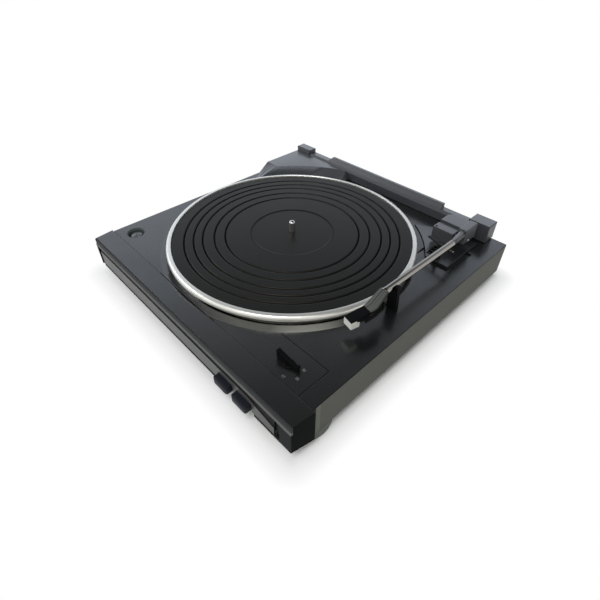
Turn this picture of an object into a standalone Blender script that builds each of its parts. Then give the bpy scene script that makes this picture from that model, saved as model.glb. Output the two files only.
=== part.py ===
"""An automatic belt-drive turntable without its lid, as the separate pieces it comes apart into.

Lengths are in metres. X runs to the right along the front, Y runs to the back, and Z runs up from the
surface that the feet stand on. Plan places are measured from the middle of the body.
"""

import math

import bmesh
import bpy
from mathutils import Vector

# Shared gaps
GAP = 0.0003
RUNNING_GAP = 0.00015
OVERRUN = 0.001
MERGE = 0.00001

# Body
BODY_WIDTH = 0.3494
BODY_DEPTH = 0.350
BODY_HEIGHT = 0.040
FOOT_HEIGHT = 0.010
WALL = 0.0025
DECK_THICKNESS = 0.0025
SEAM = 0.0005

HALF_WIDTH = BODY_WIDTH / 2
HALF_DEPTH = BODY_DEPTH / 2
BODY_BOTTOM = FOOT_HEIGHT
DECK = FOOT_HEIGHT + BODY_HEIGHT
DECK_UNDERSIDE = DECK - DECK_THICKNESS

# Front cap, its end cheeks and the front panel
CAP_DEPTH = 0.0246
CAP_THICKNESS = 0.0045
CAP_FLARE = 0.0031
PILLAR_WIDTH = 0.0142
NOTCH_WIDTH = 0.0060
NOTCH_BACK = 0.0020
FRONT_RISE = 0.0040
PANEL_SETBACK = 0.0010
PANEL_THICKNESS = 0.0020
TONGUE_INSET = 0.0045
TONGUE_THICKNESS = 0.0025

CAP_REAR = -HALF_DEPTH + CAP_DEPTH
CHASSIS_FRONT = CAP_REAR + SEAM
CAP_UNDERSIDE = DECK - CAP_THICKNESS
PANEL_FRONT = -HALF_DEPTH + PANEL_SETBACK
PANEL_BACK = PANEL_FRONT + PANEL_THICKNESS
PANEL_BOTTOM = BODY_BOTTOM + FRONT_RISE
PILLAR_LEFT = HALF_WIDTH - PILLAR_WIDTH
PANEL_RIGHT = PILLAR_LEFT - NOTCH_WIDTH
NOTCH_FLOOR = PANEL_BACK + GAP
TONGUE_FRONT = PANEL_BACK + GAP

# Buttons in the front panel, and the board with their switches
BUTTON_WIDTH = 0.0202
BUTTON_PITCH = 0.0272
BUTTON_HEIGHT = 0.0090
BUTTON_BASE = 0.0062
BUTTON_REACH = 0.0077
BUTTON_BOW = 0.0016
BUTTON_SLIT = 0.0004
BUTTON_FLANGE = 0.0012
BUTTON_FLANGE_THICKNESS = 0.0015
FIRST_BUTTON_INSET = 0.0885
STEM_RADIUS = 0.0020
STEM_BITE = 0.0010
SWITCH_SIZE = 0.0080
SWITCH_DEPTH = 0.0065
SWITCH_SETBACK = 0.0075
SWITCH_FLOOR = 0.0008
BOARD_THICKNESS = 0.0016
SWITCH_BOARD_WIDTH = 0.060
SWITCH_BOARD_HEIGHT = 0.020

FIRST_BUTTON_X = HALF_WIDTH - FIRST_BUTTON_INSET
BUTTON_X = [FIRST_BUTTON_X, FIRST_BUTTON_X + BUTTON_PITCH]
BUTTON_LOW = BODY_BOTTOM + BUTTON_BASE
BUTTON_MIDDLE = BUTTON_LOW + BUTTON_HEIGHT / 2
BUTTON_FRONT = PANEL_FRONT - BUTTON_REACH
SWITCH_FRONT = PANEL_BACK + SWITCH_SETBACK
SWITCH_BACK = SWITCH_FRONT + SWITCH_DEPTH

# Bottom pan, feet and screws
PAN_RECESS = 0.0008
PAN_THICKNESS = 0.0020
PAN_SETBACK = 0.0030
FOOT_RADIUS = 0.0290
FOOT_EDGE = 0.0020
FOOT_NECK_RADIUS = 0.0120
FOOT_CLEARANCE = 0.0006
FOOT_INSET_X = 0.0277
FOOT_INSET_Y = 0.0380
BOSS_RADIUS = 0.0040
SCREW_RADIUS = 0.0013
SCREW_HEAD_RADIUS = 0.0032
SCREW_HEAD_HEIGHT = 0.0012
SCREW_LENGTH = 0.0120
SCREW_INSET = 0.0112
SCREW_FRONT_INSET = 0.1150
SCREW_REAR_INSET = 0.1000

PAN_BOTTOM = BODY_BOTTOM + PAN_RECESS
PAN_TOP = PAN_BOTTOM + PAN_THICKNESS
FOOT_X = HALF_WIDTH - FOOT_INSET_X
FOOT_Y = HALF_DEPTH - FOOT_INSET_Y
SCREW_X = HALF_WIDTH - SCREW_INSET
SCREW_FRONT_Y = -HALF_DEPTH + SCREW_FRONT_INSET
SCREW_REAR_Y = HALF_DEPTH - SCREW_REAR_INSET

# Platter, mat and spindle
PLATTER_X = -0.0111
PLATTER_Y = -0.0006
PLATTER_MARGIN = 0.0272
CREST_HEIGHT = 0.0118
CREST_WIDTH = 0.0009
BEVEL_WIDTH = 0.0052
BEVEL_DROP = 0.0028
EDGE_ROUND = 0.0010
EDGE_DROP = 0.0014
RIM_THICKNESS = 0.0035
LIP_WIDTH = 0.0070
LIP_DEPTH = 0.0016
PLATTER_CLEARANCE = 0.0020
WEB_THICKNESS = 0.0025
HUB_RADIUS = 0.0160
HUB_DEPTH = 0.0097
BELT_RIM_INSET = 0.0575
BELT_RIM_THICKNESS = 0.0030
BELT_RIM_DEPTH = 0.0082
MAT_THICKNESS = 0.0030
MAT_STEP = 0.0015
MAT_GROOVE_DEPTH = 0.0010
MAT_GROOVE_HALF = 0.0009
LABEL_RADIUS = 0.0490
LABEL_DEPTH = 0.0005
SPINDLE_RADIUS = 0.0036
SPINDLE_REACH = 0.0145
SPINDLE_TIP = 0.0030
GROOVE_RADIUS_SHARES = [0.562, 0.652, 0.748, 0.822, 0.899]

PLATTER_RADIUS = min(BODY_WIDTH, BODY_DEPTH) / 2 - PLATTER_MARGIN
BELT_RIM_RADIUS = PLATTER_RADIUS - BELT_RIM_INSET
CREST = DECK + CREST_HEIGHT
MAT_TOP = CREST - MAT_STEP
MAT_BOTTOM = MAT_TOP - MAT_THICKNESS
WEB_TOP = MAT_BOTTOM - GAP
WEB_BOTTOM = WEB_TOP - WEB_THICKNESS
RECESS_RADIUS = PLATTER_RADIUS - CREST_WIDTH - BEVEL_WIDTH
SKIRT_RADIUS = PLATTER_RADIUS - LIP_WIDTH
MAT_RADIUS = RECESS_RADIUS - GAP
HUB_BOTTOM = WEB_BOTTOM - HUB_DEPTH
BELT_RIM_BOTTOM = WEB_BOTTOM - BELT_RIM_DEPTH
SPINDLE_TOP = MAT_TOP + SPINDLE_REACH

# Dish that the platter turns in
DISH_GAP = 0.0030
DISH_MARGIN = 0.0078
DISH_SLOPE_DROP = 0.0023
DISH_DEPTH = 0.0100
DISH_THICKNESS = 0.0025
BOWL_WALL = 0.0027

DISH_FLOOR = DECK - DISH_DEPTH
DISH_UNDERSIDE = DISH_FLOOR - DISH_THICKNESS
DISH_FLOOR_RADIUS = SKIRT_RADIUS + DISH_GAP
DISH_RADIUS = PLATTER_RADIUS + DISH_MARGIN
RIM_BOTTOM = DISH_FLOOR + PLATTER_CLEARANCE

# Bearing and the pinion that drives the automatic arm gear
BUSH_WALL = 0.0034
BUSH_RISE = 0.0040
BUSH_LENGTH = 0.0140
BUSH_FLANGE_WIDTH = 0.0050
BUSH_FLANGE_THICKNESS = 0.0015
BUSH_BOTTOM_THICKNESS = 0.0020
PINION_RADIUS = 0.0140
PINION_TEETH = 14
PINION_HEIGHT = 0.0034
PINION_BUSH_GAP = 0.0010
TOOTH_DEPTH = 0.0022
ROOT_TOOTH_SHARE = 0.62
TIP_TOOTH_SHARE = 0.28

BUSH_RADIUS = SPINDLE_RADIUS + BUSH_WALL
BUSH_TOP = DISH_FLOOR + BUSH_RISE
BUSH_BOTTOM = BUSH_TOP - BUSH_LENGTH
BUSH_BORE_FLOOR = BUSH_BOTTOM + BUSH_BOTTOM_THICKNESS
PINION_TOP = HUB_BOTTOM - GAP
PINION_BOTTOM = PINION_TOP - PINION_HEIGHT

# Cam gear on its stud, and the return lever under the dish
TIP_GAP = 0.0005
CAM_GEAR_INSET = 0.0955
CAM_GEAR_HEIGHT = 0.0032
CAM_GEAR_ANGLE = math.radians(20)
STUD_RADIUS = 0.0030
STUD_FLANGE_RADIUS = 0.0060
STUD_FLANGE_THICKNESS = 0.0006
STUD_CLIP_THICKNESS = 0.0010
CAM_TRACK_INSET = 0.0120
CAM_TRACK_WIDTH = 0.0050
CAM_TRACK_DEPTH = 0.0014
LEVER_INSET = 0.0325
LEVER_ANGLE = math.radians(27)
LEVER_THICKNESS = 0.0025
LEVER_END_RADIUS = 0.0060
LEVER_INNER_REACH = 0.0390
LEVER_OUTER_REACH = 0.0320
LEVER_STUD_RADIUS = 0.0025
LEVER_STUD_HEAD = 0.0045
LEVER_STUD_HEAD_HEIGHT = 0.0015

CAM_GEAR_RADIUS = PLATTER_RADIUS - CAM_GEAR_INSET
CAM_GEAR_TEETH = round(PINION_TEETH * CAM_GEAR_RADIUS / PINION_RADIUS)
CAM_TRACK_OUTER = CAM_GEAR_RADIUS - CAM_TRACK_INSET
CAM_TRACK_INNER = CAM_TRACK_OUTER - CAM_TRACK_WIDTH
LEVER_DISTANCE = PLATTER_RADIUS - LEVER_INSET
CAM_BOTTOM = DISH_FLOOR + GAP + STUD_FLANGE_THICKNESS + GAP
CAM_TOP = CAM_BOTTOM + CAM_GEAR_HEIGHT
CAM_DISTANCE = PINION_RADIUS + CAM_GEAR_RADIUS + TIP_GAP
CAM_X = PLATTER_X + CAM_DISTANCE * math.cos(CAM_GEAR_ANGLE)
CAM_Y = PLATTER_Y + CAM_DISTANCE * math.sin(CAM_GEAR_ANGLE)
LEVER_X = PLATTER_X + LEVER_DISTANCE * math.cos(LEVER_ANGLE)
LEVER_Y = PLATTER_Y + LEVER_DISTANCE * math.sin(LEVER_ANGLE)
LEVER_TOP = DISH_UNDERSIDE - GAP
LEVER_BOTTOM = LEVER_TOP - LEVER_THICKNESS

# Motor, pulley and belt
MOTOR_BELT_SPAN = 0.0280
MOTOR_ANGLE = math.radians(135)
MOTOR_RADIUS = 0.0240
MOTOR_PAN_GAP = 0.0012
MOUNT_RADIUS = 0.0040
MOUNT_HEIGHT = 0.0030
MOUNT_CIRCLE = 0.0180
MOUNT_COUNT = 3
SHAFT_RADIUS = 0.0015
SHAFT_HOLE_RADIUS = 0.0060
SHAFT_DEPTH = 0.0140
PULLEY_RADIUS = 0.0090
PULLEY_COLLAR_RADIUS = 0.0045
PULLEY_COLLAR_HEIGHT = 0.0030
PULLEY_TOP_GAP = 0.0009
BELT_WIDTH = 0.0040
BELT_THICKNESS = 0.0006

MOTOR_DISTANCE = BELT_RIM_RADIUS + MOTOR_BELT_SPAN
MOTOR_X = PLATTER_X + MOTOR_DISTANCE * math.cos(MOTOR_ANGLE)
MOTOR_Y = PLATTER_Y + MOTOR_DISTANCE * math.sin(MOTOR_ANGLE)
MOUNT_TOP = DISH_UNDERSIDE - GAP
MOTOR_TOP = MOUNT_TOP - MOUNT_HEIGHT - GAP
MOTOR_BOTTOM = PAN_TOP + MOTOR_PAN_GAP
PULLEY_TOP = WEB_BOTTOM - PULLEY_TOP_GAP
PULLEY_BOTTOM = BELT_RIM_BOTTOM - GAP
BELT_MIDDLE = (PULLEY_TOP + PULLEY_BOTTOM) / 2

# Control panel and record-size lever
CONTROL_WIDTH = 0.1370
CONTROL_INSET = 0.0177
CONTROL_DEPTH = 0.0359
CONTROL_THICKNESS = 0.0012
SIZE_INSET_X = 0.0290
SIZE_INSET_Y = 0.0169
SIZE_HEADING = math.radians(5)
SIZE_BASE_RADIUS = 0.0055
SIZE_BASE_HEIGHT = 0.0012
SIZE_GRIP_REACH = 0.0150
SIZE_GRIP_HEIGHT = 0.0105
SIZE_POINTER_REACH = 0.0115
SIZE_POINTER_HEIGHT = 0.0048
SIZE_FIN_LIFT = 0.0006
SIZE_FIN_HALF = 0.0018
SIZE_SHOULDER_SHARE = 0.35
SIZE_SHAFT_RADIUS = 0.0024
SIZE_SHAFT_LENGTH = 0.0100
SIZE_COLLAR_RADIUS = 0.0040
SIZE_COLLAR_HEIGHT = 0.0015

CONTROL_RIGHT = HALF_WIDTH - CONTROL_INSET
CONTROL_LEFT = CONTROL_RIGHT - CONTROL_WIDTH
CONTROL_REAR = CHASSIS_FRONT + CONTROL_DEPTH
SIZE_X = CONTROL_RIGHT - SIZE_INSET_X
SIZE_Y = CHASSIS_FRONT + SIZE_INSET_Y
POCKET_FLOOR = DECK - CONTROL_THICKNESS - GAP

# Screw that locks the works for moving, in a round well
WELL_INSET_X = 0.0227
WELL_INSET_Y = 0.0179
WELL_RADIUS = 0.0092
WELL_CHAMFER = 0.0016
WELL_DEPTH = 0.0060
WELL_WALL = 0.0025
LOCK_HEAD_RADIUS = 0.0068
LOCK_HEAD_HEIGHT = 0.0026
LOCK_HEAD_DOME = 0.0014
LOCK_SHANK_RADIUS = 0.0030
LOCK_SHANK_LENGTH = 0.0090
LOCK_SLOT_WIDTH = 0.0016
LOCK_SLOT_DEPTH = 0.0014

WELL_X = -HALF_WIDTH + WELL_INSET_X
WELL_Y = CHASSIS_FRONT + WELL_INSET_Y

# Rear cover, rail and lid hinge sockets
RAIL_DEPTH = 0.0122
LEFT_SOCKET_WIDTH = 0.0277
RAIL_RIGHT_INSET = 0.0457
RAIL_HEIGHT = 0.0140
RAIL_NOSE = 0.0027
RAIL_WALL = 0.0025
RAIL_BAR_LEFT_INSET = 0.0380
RAIL_BAR_RIGHT_INSET = 0.0420
RAIL_BAR_HEIGHT = 0.0060
RAIL_BAR_RAMP = 0.0060
RAIL_BAR_SLOPE = 0.0040
COVER_HEIGHT = 0.0120
COVER_LOW_LENGTH = 0.0916
COVER_HIGH_LENGTH = 0.0750
COVER_TOP_SETBACK = 0.0182
COVER_LOW_START = math.radians(158.2)
COVER_HIGH_START = math.radians(144.8)
COVER_END = math.radians(110.2)
COVER_TIP_WIDTH = 0.0020
COVER_WALL = 0.0030
COVER_STEPS = 10
SOCKET_OVERHANG = 0.0020
LEFT_SOCKET_HEIGHT = 0.0190
RIGHT_SOCKET_HEIGHT = 0.0225
RIGHT_SOCKET_DEPTH = 0.0180
RIGHT_SOCKET_WIDTH = 0.0265
POCKET_WIDTH = 0.0140
POCKET_HEIGHT = 0.0100
POCKET_DEPTH = 0.0090
SOCKET_EDGE = 0.0008

SOCKET_REAR = HALF_DEPTH + SOCKET_OVERHANG
RAIL_FRONT = HALF_DEPTH - RAIL_DEPTH
RAIL_LEFT = -HALF_WIDTH + LEFT_SOCKET_WIDTH
RAIL_RIGHT = HALF_WIDTH - RAIL_RIGHT_INSET
RAIL_BAR_LEFT = RAIL_LEFT + RAIL_BAR_LEFT_INSET
RAIL_BAR_RIGHT = RAIL_RIGHT - RAIL_BAR_RIGHT_INSET
RIGHT_SOCKET_FRONT = HALF_DEPTH - RIGHT_SOCKET_DEPTH
RIGHT_SOCKET_RIGHT = RAIL_RIGHT + RIGHT_SOCKET_WIDTH
COVER_FRONT_LOW = HALF_DEPTH - COVER_LOW_LENGTH
COVER_FRONT_HIGH = HALF_DEPTH - COVER_HIGH_LENGTH
COVER_TOP_RADIUS = DISH_RADIUS + COVER_TOP_SETBACK

# Arm base: the sunk well, the plate with its slats, and the arm bearing
ARM_DISH_INSET_X = 0.0222
ARM_DISH_INSET_Y = 0.0337
ARM_WELL_LEFT_REACH = 0.0120
ARM_WELL_WIDTH = 0.0460
ARM_WELL_FRONT_REACH = 0.0790
ARM_WELL_LENGTH = 0.0840
ARM_WELL_DEPTH = 0.0020
ARM_WELL_FLOOR_THICKNESS = 0.0025
PLATE_DISH_GAP = 0.0020
PLATE_RISE = 0.0015
PLATE_FRONT_REACH = 0.0370
PLATE_SHOULDER_REACH = 0.0100
PLATE_LEFT_REACH = 0.0150
PLATE_REAR_REACH = 0.0290
PLATE_RIGHT_REACH = 0.0280
VENT_LEFT_REACH = 0.0035
VENT_WIDTH = 0.0075
VENT_FRONT_REACH = 0.0305
VENT_LENGTH = 0.0225
SLAT_THICKNESS = 0.0016
SLAT_DEPTH = 0.0020
SLAT_PLACE_SHARES = [0.13, 0.37, 0.64, 0.90]
PILLAR_RADIUS = 0.0040
PILLAR_LENGTH = 0.0390
ARM_BUSH_WALL = 0.0020
ARM_BUSH_LENGTH = 0.0180
ARM_FLANGE_WIDTH = 0.0030
ARM_FLANGE_HEIGHT = 0.0029
CRANK_REACH = 0.0280
CRANK_HEADING = math.radians(207)
CRANK_THICKNESS = 0.0025
CRANK_HUB_RADIUS = 0.0080
CRANK_TIP_RADIUS = 0.0040

ARM_X = PLATTER_X + DISH_RADIUS - ARM_DISH_INSET_X
ARM_Y = PLATTER_Y + DISH_RADIUS - ARM_DISH_INSET_Y
ARM_WELL_LEFT = ARM_X - ARM_WELL_LEFT_REACH
ARM_WELL_RIGHT = ARM_WELL_LEFT + ARM_WELL_WIDTH
ARM_WELL_FRONT = ARM_Y - ARM_WELL_FRONT_REACH
ARM_WELL_REAR = ARM_WELL_FRONT + ARM_WELL_LENGTH
PLATE_FRONT = ARM_Y - PLATE_FRONT_REACH
PLATE_SHOULDER = ARM_Y + PLATE_SHOULDER_REACH
PLATE_REAR_LEFT = ARM_X - PLATE_LEFT_REACH
PLATE_REAR = ARM_Y + PLATE_REAR_REACH
PLATE_RIGHT = ARM_X + PLATE_RIGHT_REACH
VENT_LEFT = ARM_X - VENT_LEFT_REACH
VENT_RIGHT = VENT_LEFT + VENT_WIDTH
VENT_FRONT = ARM_Y - VENT_FRONT_REACH
VENT_REAR = VENT_FRONT + VENT_LENGTH
PLATE_TOP = DECK + PLATE_RISE
ARM_WELL_FLOOR = DECK - ARM_WELL_DEPTH
PLATE_BOTTOM = ARM_WELL_FLOOR + GAP
PLATE_RADIUS = DISH_RADIUS + PLATE_DISH_GAP
ARM_BUSH_RADIUS = PILLAR_RADIUS + ARM_BUSH_WALL
ARM_FLANGE_BOTTOM = PLATE_TOP + GAP
ARM_FLANGE_TOP = ARM_FLANGE_BOTTOM + ARM_FLANGE_HEIGHT
TURRET_BOTTOM = ARM_FLANGE_TOP + GAP

# Arm turret, tilting holder, pin and balance weight
TURRET_LEFT = 0.0150
TURRET_RIGHT = 0.0110
TURRET_FRONT = 0.0060
TURRET_REAR = 0.0310
TURRET_FRONT_HEIGHT = 0.0166
TURRET_REAR_HEIGHT = 0.0186
TURRET_GROOVE_FRONT = 0.0060
TURRET_GROOVE_WIDTH = 0.0040
TURRET_GROOVE_DEPTH = 0.0020
TURRET_CORNER = 0.0060
TURRET_HOLE_RADIUS = 0.0012
TURRET_HOLE_INSET = 0.0030
TURRET_SOCKET_DEPTH = 0.0080
HOLDER_SLOT = 0.0030
HOLDER_WIDTH = 0.0105
HOLDER_FRONT = -0.0030
HOLDER_LENGTH = 0.0260
HOLDER_BELOW_TUBE = 0.0160
HOLDER_ABOVE_TUBE = 0.0026
HOLDER_EDGE = 0.0010
NECK_ROOT_SHARE = 0.42
PIN_FORWARD = 0.0030
PIN_BELOW_TUBE = 0.0110
PIN_RADIUS = 0.0015
PIN_INNER_REACH = 0.0020
WEIGHT_POCKET_WALL = 0.0020
WEIGHT_LENGTH = 0.0125
WEIGHT_HEIGHT = 0.0110

# Arm tube, headshell, cartridge, stylus and guard
TUBE_HEIGHT = 0.0280
TUBE_RADIUS = 0.0035
TUBE_WALL = 0.0006
TUBE_FRONT_OUT = 0.0210
TUBE_FRONT_REACH = 0.1450
TUBE_REAR_OUT = 0.0232
TUBE_REAR_REACH = 0.0300
SHELL_ROOT_HALF = 0.0030
SHELL_NECK_LENGTH = 0.0100
SHELL_NECK_HALF = 0.0044
SHELL_WIDE_LENGTH = 0.0220
SHELL_WIDE_HALF = 0.0062
SHELL_LENGTH = 0.0280
SHELL_HALF = 0.0054
SHELL_PLATE_LENGTH = 0.0209
SHELL_PLATE_HALF = 0.0055
SHELL_PLATE_THICKNESS = 0.0016
SHELL_RIDGE = 0.0012
SHELL_DROP = 0.0050
SHELL_PITCH_DROP = 0.0026
SHELL_WIDE_SHIFT = 0.0030
OFFSET = math.radians(13)
CARTRIDGE_HALF = 0.0046
CARTRIDGE_LENGTH = 0.0190
CARTRIDGE_HEIGHT = 0.0050
CARTRIDGE_START = 0.0008
STYLUS_HALF = 0.0030
STYLUS_START = 0.0100
STYLUS_LENGTH = 0.0085
STYLUS_HEIGHT = 0.0008
CANTILEVER_RADIUS = 0.0004
CANTILEVER_LENGTH = 0.0022
CANTILEVER_DROP = 0.0008
GUARD_WALL = 0.0008
GUARD_LENGTH = 0.0095
GUARD_FLOOR = 0.0008
FINGER_RADIUS = 0.0011
FINGER_LENGTH = 0.0124
FINGER_OUT = 0.0040
FINGER_DROP = 0.0040

TUBE_FRONT_X = ARM_X + TUBE_FRONT_OUT
TUBE_FRONT_Y = ARM_Y - TUBE_FRONT_REACH
TUBE_REAR_X = ARM_X + TUBE_REAR_OUT
TUBE_REAR_Y = ARM_Y - TUBE_REAR_REACH
TUBE_Z = DECK + TUBE_HEIGHT
ARM_HEADING = math.atan2(TUBE_REAR_Y - TUBE_FRONT_Y, TUBE_REAR_X - TUBE_FRONT_X)

# Arm rest and cueing bar
REST_REACH = 0.1360
REST_DEPTH = 0.0060
REST_POST_WIDTH = 0.0055
REST_TOP_RISE = 0.0020
REST_LEDGE_THICKNESS = 0.0040
REST_FOOT_RADIUS = 0.0070
REST_FOOT_HEIGHT = 0.0018
LIFT_OUT = 0.0090
LIFT_REACH = 0.0284
LIFT_ROD_RADIUS = 0.0020
LIFT_ROD_LENGTH = 0.0280
LIFT_BUSH_WALL = 0.0014
LIFT_COLLAR_WIDTH = 0.0010
LIFT_COLLAR_HEIGHT = 0.0060
LIFT_BUSH_LENGTH = 0.0100
LIFT_BAR_HALF = 0.0015
LIFT_BAR_HEIGHT = 0.0025
LIFT_BAR_LEFT = 0.0180
LIFT_BAR_RIGHT = 0.0200
LIFT_BAR_HEADING = math.radians(-13.7)
LIFT_TUBE_GAP = 0.0045

REST_FRONT = ARM_Y - REST_REACH
LIFT_X = ARM_X + LIFT_OUT
LIFT_Y = ARM_Y - LIFT_REACH
LIFT_BAR_TOP = TUBE_Z - TUBE_RADIUS - LIFT_TUBE_GAP
LIFT_BUSH_TOP = PLATE_TOP + GAP + LIFT_COLLAR_HEIGHT

# Boards, transformer and rear sockets
CIRCUIT_INSET_X = 0.1547
CIRCUIT_WIDTH = 0.0900
CIRCUIT_INSET_Y = 0.0450
CIRCUIT_DEPTH = 0.0560
STANDOFF_HEIGHT = 0.0060
STANDOFF_RADIUS = 0.0030
STANDOFF_INSET = 0.0050
CAN_RADIUS = 0.0050
CAN_HEIGHT = 0.0090
TRANSFORMER_INSET_X = 0.0267
TRANSFORMER_INSET_Y = 0.0350
TRANSFORMER_WIDTH = 0.0400
TRANSFORMER_DEPTH = 0.0440
TRANSFORMER_HEIGHT = 0.0240
WINDING_WIDTH = 0.0260
WINDING_BULGE = 0.0050
JACK_INSET = 0.0547
JACK_Z = 0.0220
JACK_PITCH = 0.0180
JACK_RADIUS = 0.0042
JACK_BORE = 0.0016
JACK_REACH = 0.0017
JACK_PLATE_WIDTH = 0.0440
JACK_PLATE_HEIGHT = 0.0180
JACK_PLATE_THICKNESS = 0.0020
JACK_WINDOW_MARGIN = 0.0015
INLET_PLACE = 0.1147
INLET_WIDTH = 0.0220
INLET_HEIGHT = 0.0140
INLET_DEPTH = 0.0180
INLET_RECESS_WIDTH = 0.0150
INLET_RECESS_HEIGHT = 0.0085
INLET_RECESS_DEPTH = 0.0130
INLET_PIN_RADIUS = 0.0011
INLET_PIN_LENGTH = 0.0070
INLET_PIN_PITCH = 0.0086
INLET_INSET = 0.0003

CIRCUIT_LEFT = HALF_WIDTH - CIRCUIT_INSET_X
CIRCUIT_FRONT = -HALF_DEPTH + CIRCUIT_INSET_Y
TRANSFORMER_X = -HALF_WIDTH + TRANSFORMER_INSET_X
TRANSFORMER_Y = HALF_DEPTH - TRANSFORMER_INSET_Y
JACK_X = HALF_WIDTH - JACK_INSET
INLET_X = -HALF_WIDTH + INLET_PLACE

# Facets of round pieces
LARGE_SIDES = 96
MAT_SIDES = 72
MEDIUM_SIDES = 48
SMALL_SIDES = 24
TINY_SIDES = 12

ROOT_SHIFT = (HALF_DEPTH - PANEL_SETBACK + BUTTON_REACH - SOCKET_REAR) / 2


# Scene, collections and finishes

def clear_scene():
    for item in list(bpy.data.objects):
        bpy.data.objects.remove(item, do_unlink=True)


def new_collection(name):
    made = bpy.data.collections.new(name)
    bpy.context.scene.collection.children.link(made)
    return made


def finish(name, colour, roughness, metallic=0.0):
    made = bpy.data.materials.new(name)
    made.use_nodes = True
    shader = made.node_tree.nodes["Principled BSDF"]
    shader.inputs["Base Color"].default_value = (*colour, 1.0)
    shader.inputs["Roughness"].default_value = roughness
    shader.inputs["Metallic"].default_value = metallic
    return made


clear_scene()
PARTS = new_collection("automatic_turntable")
CUTTERS = new_collection("cutters")
BODIES = {}

CHARCOAL = ((0.045, 0.047, 0.050), 0.45)
BLACK = ((0.012, 0.012, 0.013), 0.40)
GREY_PANEL = ((0.22, 0.22, 0.22), 0.35)
RUBBER = ((0.022, 0.022, 0.023), 0.80)
ALUMINIUM = ((0.62, 0.62, 0.60), 0.25, 1.0)
STEEL = ((0.55, 0.55, 0.55), 0.30, 1.0)
BRASS = ((0.60, 0.45, 0.18), 0.35, 1.0)
WHITE = ((0.55, 0.55, 0.50), 0.45)
GREEN_BOARD = ((0.03, 0.13, 0.06), 0.50)
NATURAL_NYLON = ((0.55, 0.52, 0.45), 0.50)


# Shapes

def link(name, mesh, group=None):
    made = bpy.data.objects.new(name, mesh)
    (group or PARTS).objects.link(made)
    return made


def from_bmesh(name, shape):
    bmesh.ops.recalc_face_normals(shape, faces=shape.faces)
    mesh = bpy.data.meshes.new(name)
    shape.to_mesh(mesh)
    shape.free()
    return link(name, mesh)


def box(name, low, high):
    """A block between two corners."""
    shape = bmesh.new()
    bmesh.ops.create_cube(shape, size=1)
    for vertex in shape.verts:
        for axis in range(3):
            middle = (low[axis] + high[axis]) / 2
            vertex.co[axis] = middle + vertex.co[axis] * (high[axis] - low[axis])
    return from_bmesh(name, shape)


def cylinder(name, radius, low, high, place=(0, 0), sides=SMALL_SIDES):
    """An upright cylinder between two heights."""
    shape = bmesh.new()
    bmesh.ops.create_cone(shape, cap_ends=True, segments=sides, radius1=radius, radius2=radius, depth=high - low)
    bmesh.ops.translate(shape, verts=shape.verts, vec=(place[0], place[1], (low + high) / 2))
    return from_bmesh(name, shape)


def rod(name, radius, start, end, sides=SMALL_SIDES):
    """A round rod between two points."""
    start = Vector(start)
    end = Vector(end)
    shape = bmesh.new()
    length = (end - start).length
    bmesh.ops.create_cone(shape, cap_ends=True, segments=sides, radius1=radius, radius2=radius, depth=length)
    turn = Vector((0, 0, 1)).rotation_difference(end - start)
    bmesh.ops.rotate(shape, verts=shape.verts, cent=(0, 0, 0), matrix=turn.to_matrix())
    bmesh.ops.translate(shape, verts=shape.verts, vec=(start + end) / 2)
    return from_bmesh(name, shape)


def turned(name, profile, place=(0, 0), sides=MEDIUM_SIDES, ring=False):
    """A turned piece. The profile is (radius, height), down its outer side; a ring's profile is a loop."""
    points = [(radius, 0, height) for radius, height in profile]
    edges = [(index, index + 1) for index in range(len(points) - 1)]
    if ring:
        edges.append((len(points) - 1, 0))
    mesh = bpy.data.meshes.new(name)
    mesh.from_pydata(points, edges, [])
    made = link(name, mesh)
    screw = made.modifiers.new("turn", "SCREW")
    screw.steps = sides
    screw.render_steps = sides
    screw.use_merge_vertices = True
    screw.merge_threshold = MERGE
    bake(made)
    move(made, (place[0], place[1], 0))
    return made


def plate(name, outline, low, high):
    """A flat outline, raised between two heights."""
    curve = bpy.data.curves.new(name, "CURVE")
    curve.dimensions = "2D"
    curve.fill_mode = "BOTH"
    curve.extrude = (high - low) / 2
    loops = outline if isinstance(outline[0][0], (tuple, list)) else [outline]
    for loop in loops:
        spline = curve.splines.new("POLY")
        spline.points.add(len(loop) - 1)
        for point, place in zip(spline.points, loop):
            point.co = (place[0], place[1], 0, 1)
        spline.use_cyclic_u = True
    drawn = link(name + "_outline", curve)
    mesh = bpy.data.meshes.new_from_object(drawn.evaluated_get(bpy.context.evaluated_depsgraph_get()))
    bpy.data.objects.remove(drawn, do_unlink=True)
    shape = bmesh.new()
    shape.from_mesh(mesh)
    bmesh.ops.remove_doubles(shape, verts=shape.verts, dist=MERGE)
    bmesh.ops.translate(shape, verts=shape.verts, vec=(0, 0, (low + high) / 2))
    return from_bmesh(name, shape)


def bar(name, section, left, right):
    """A section in Y and Z, drawn out along X."""
    made = plate(name, section, left, right)
    for vertex in made.data.vertices:
        vertex.co = (vertex.co.z, vertex.co.x, vertex.co.y)
    return made


def loft(name, rings):
    """A closed skin through rings with as many points each."""
    shape = bmesh.new()
    levels = [[shape.verts.new(point) for point in ring] for ring in rings]
    for lower, upper in zip(levels, levels[1:]):
        for index in range(len(lower)):
            following = (index + 1) % len(lower)
            shape.faces.new((lower[index], lower[following], upper[following], upper[index]))
    shape.faces.new(levels[0])
    shape.faces.new(levels[-1])
    return from_bmesh(name, shape)


def move(piece, by):
    for vertex in piece.data.vertices:
        vertex.co += Vector(by)


def turn_about(piece, place, angle):
    """Turns a piece's mesh about an upright line."""
    shape = bmesh.new()
    shape.from_mesh(piece.data)
    turn = Vector((1, 0, 0)).rotation_difference(Vector((math.cos(angle), math.sin(angle), 0)))
    bmesh.ops.rotate(shape, verts=shape.verts, cent=(*place, 0), matrix=turn.to_matrix())
    shape.to_mesh(piece.data)
    shape.free()


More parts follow.
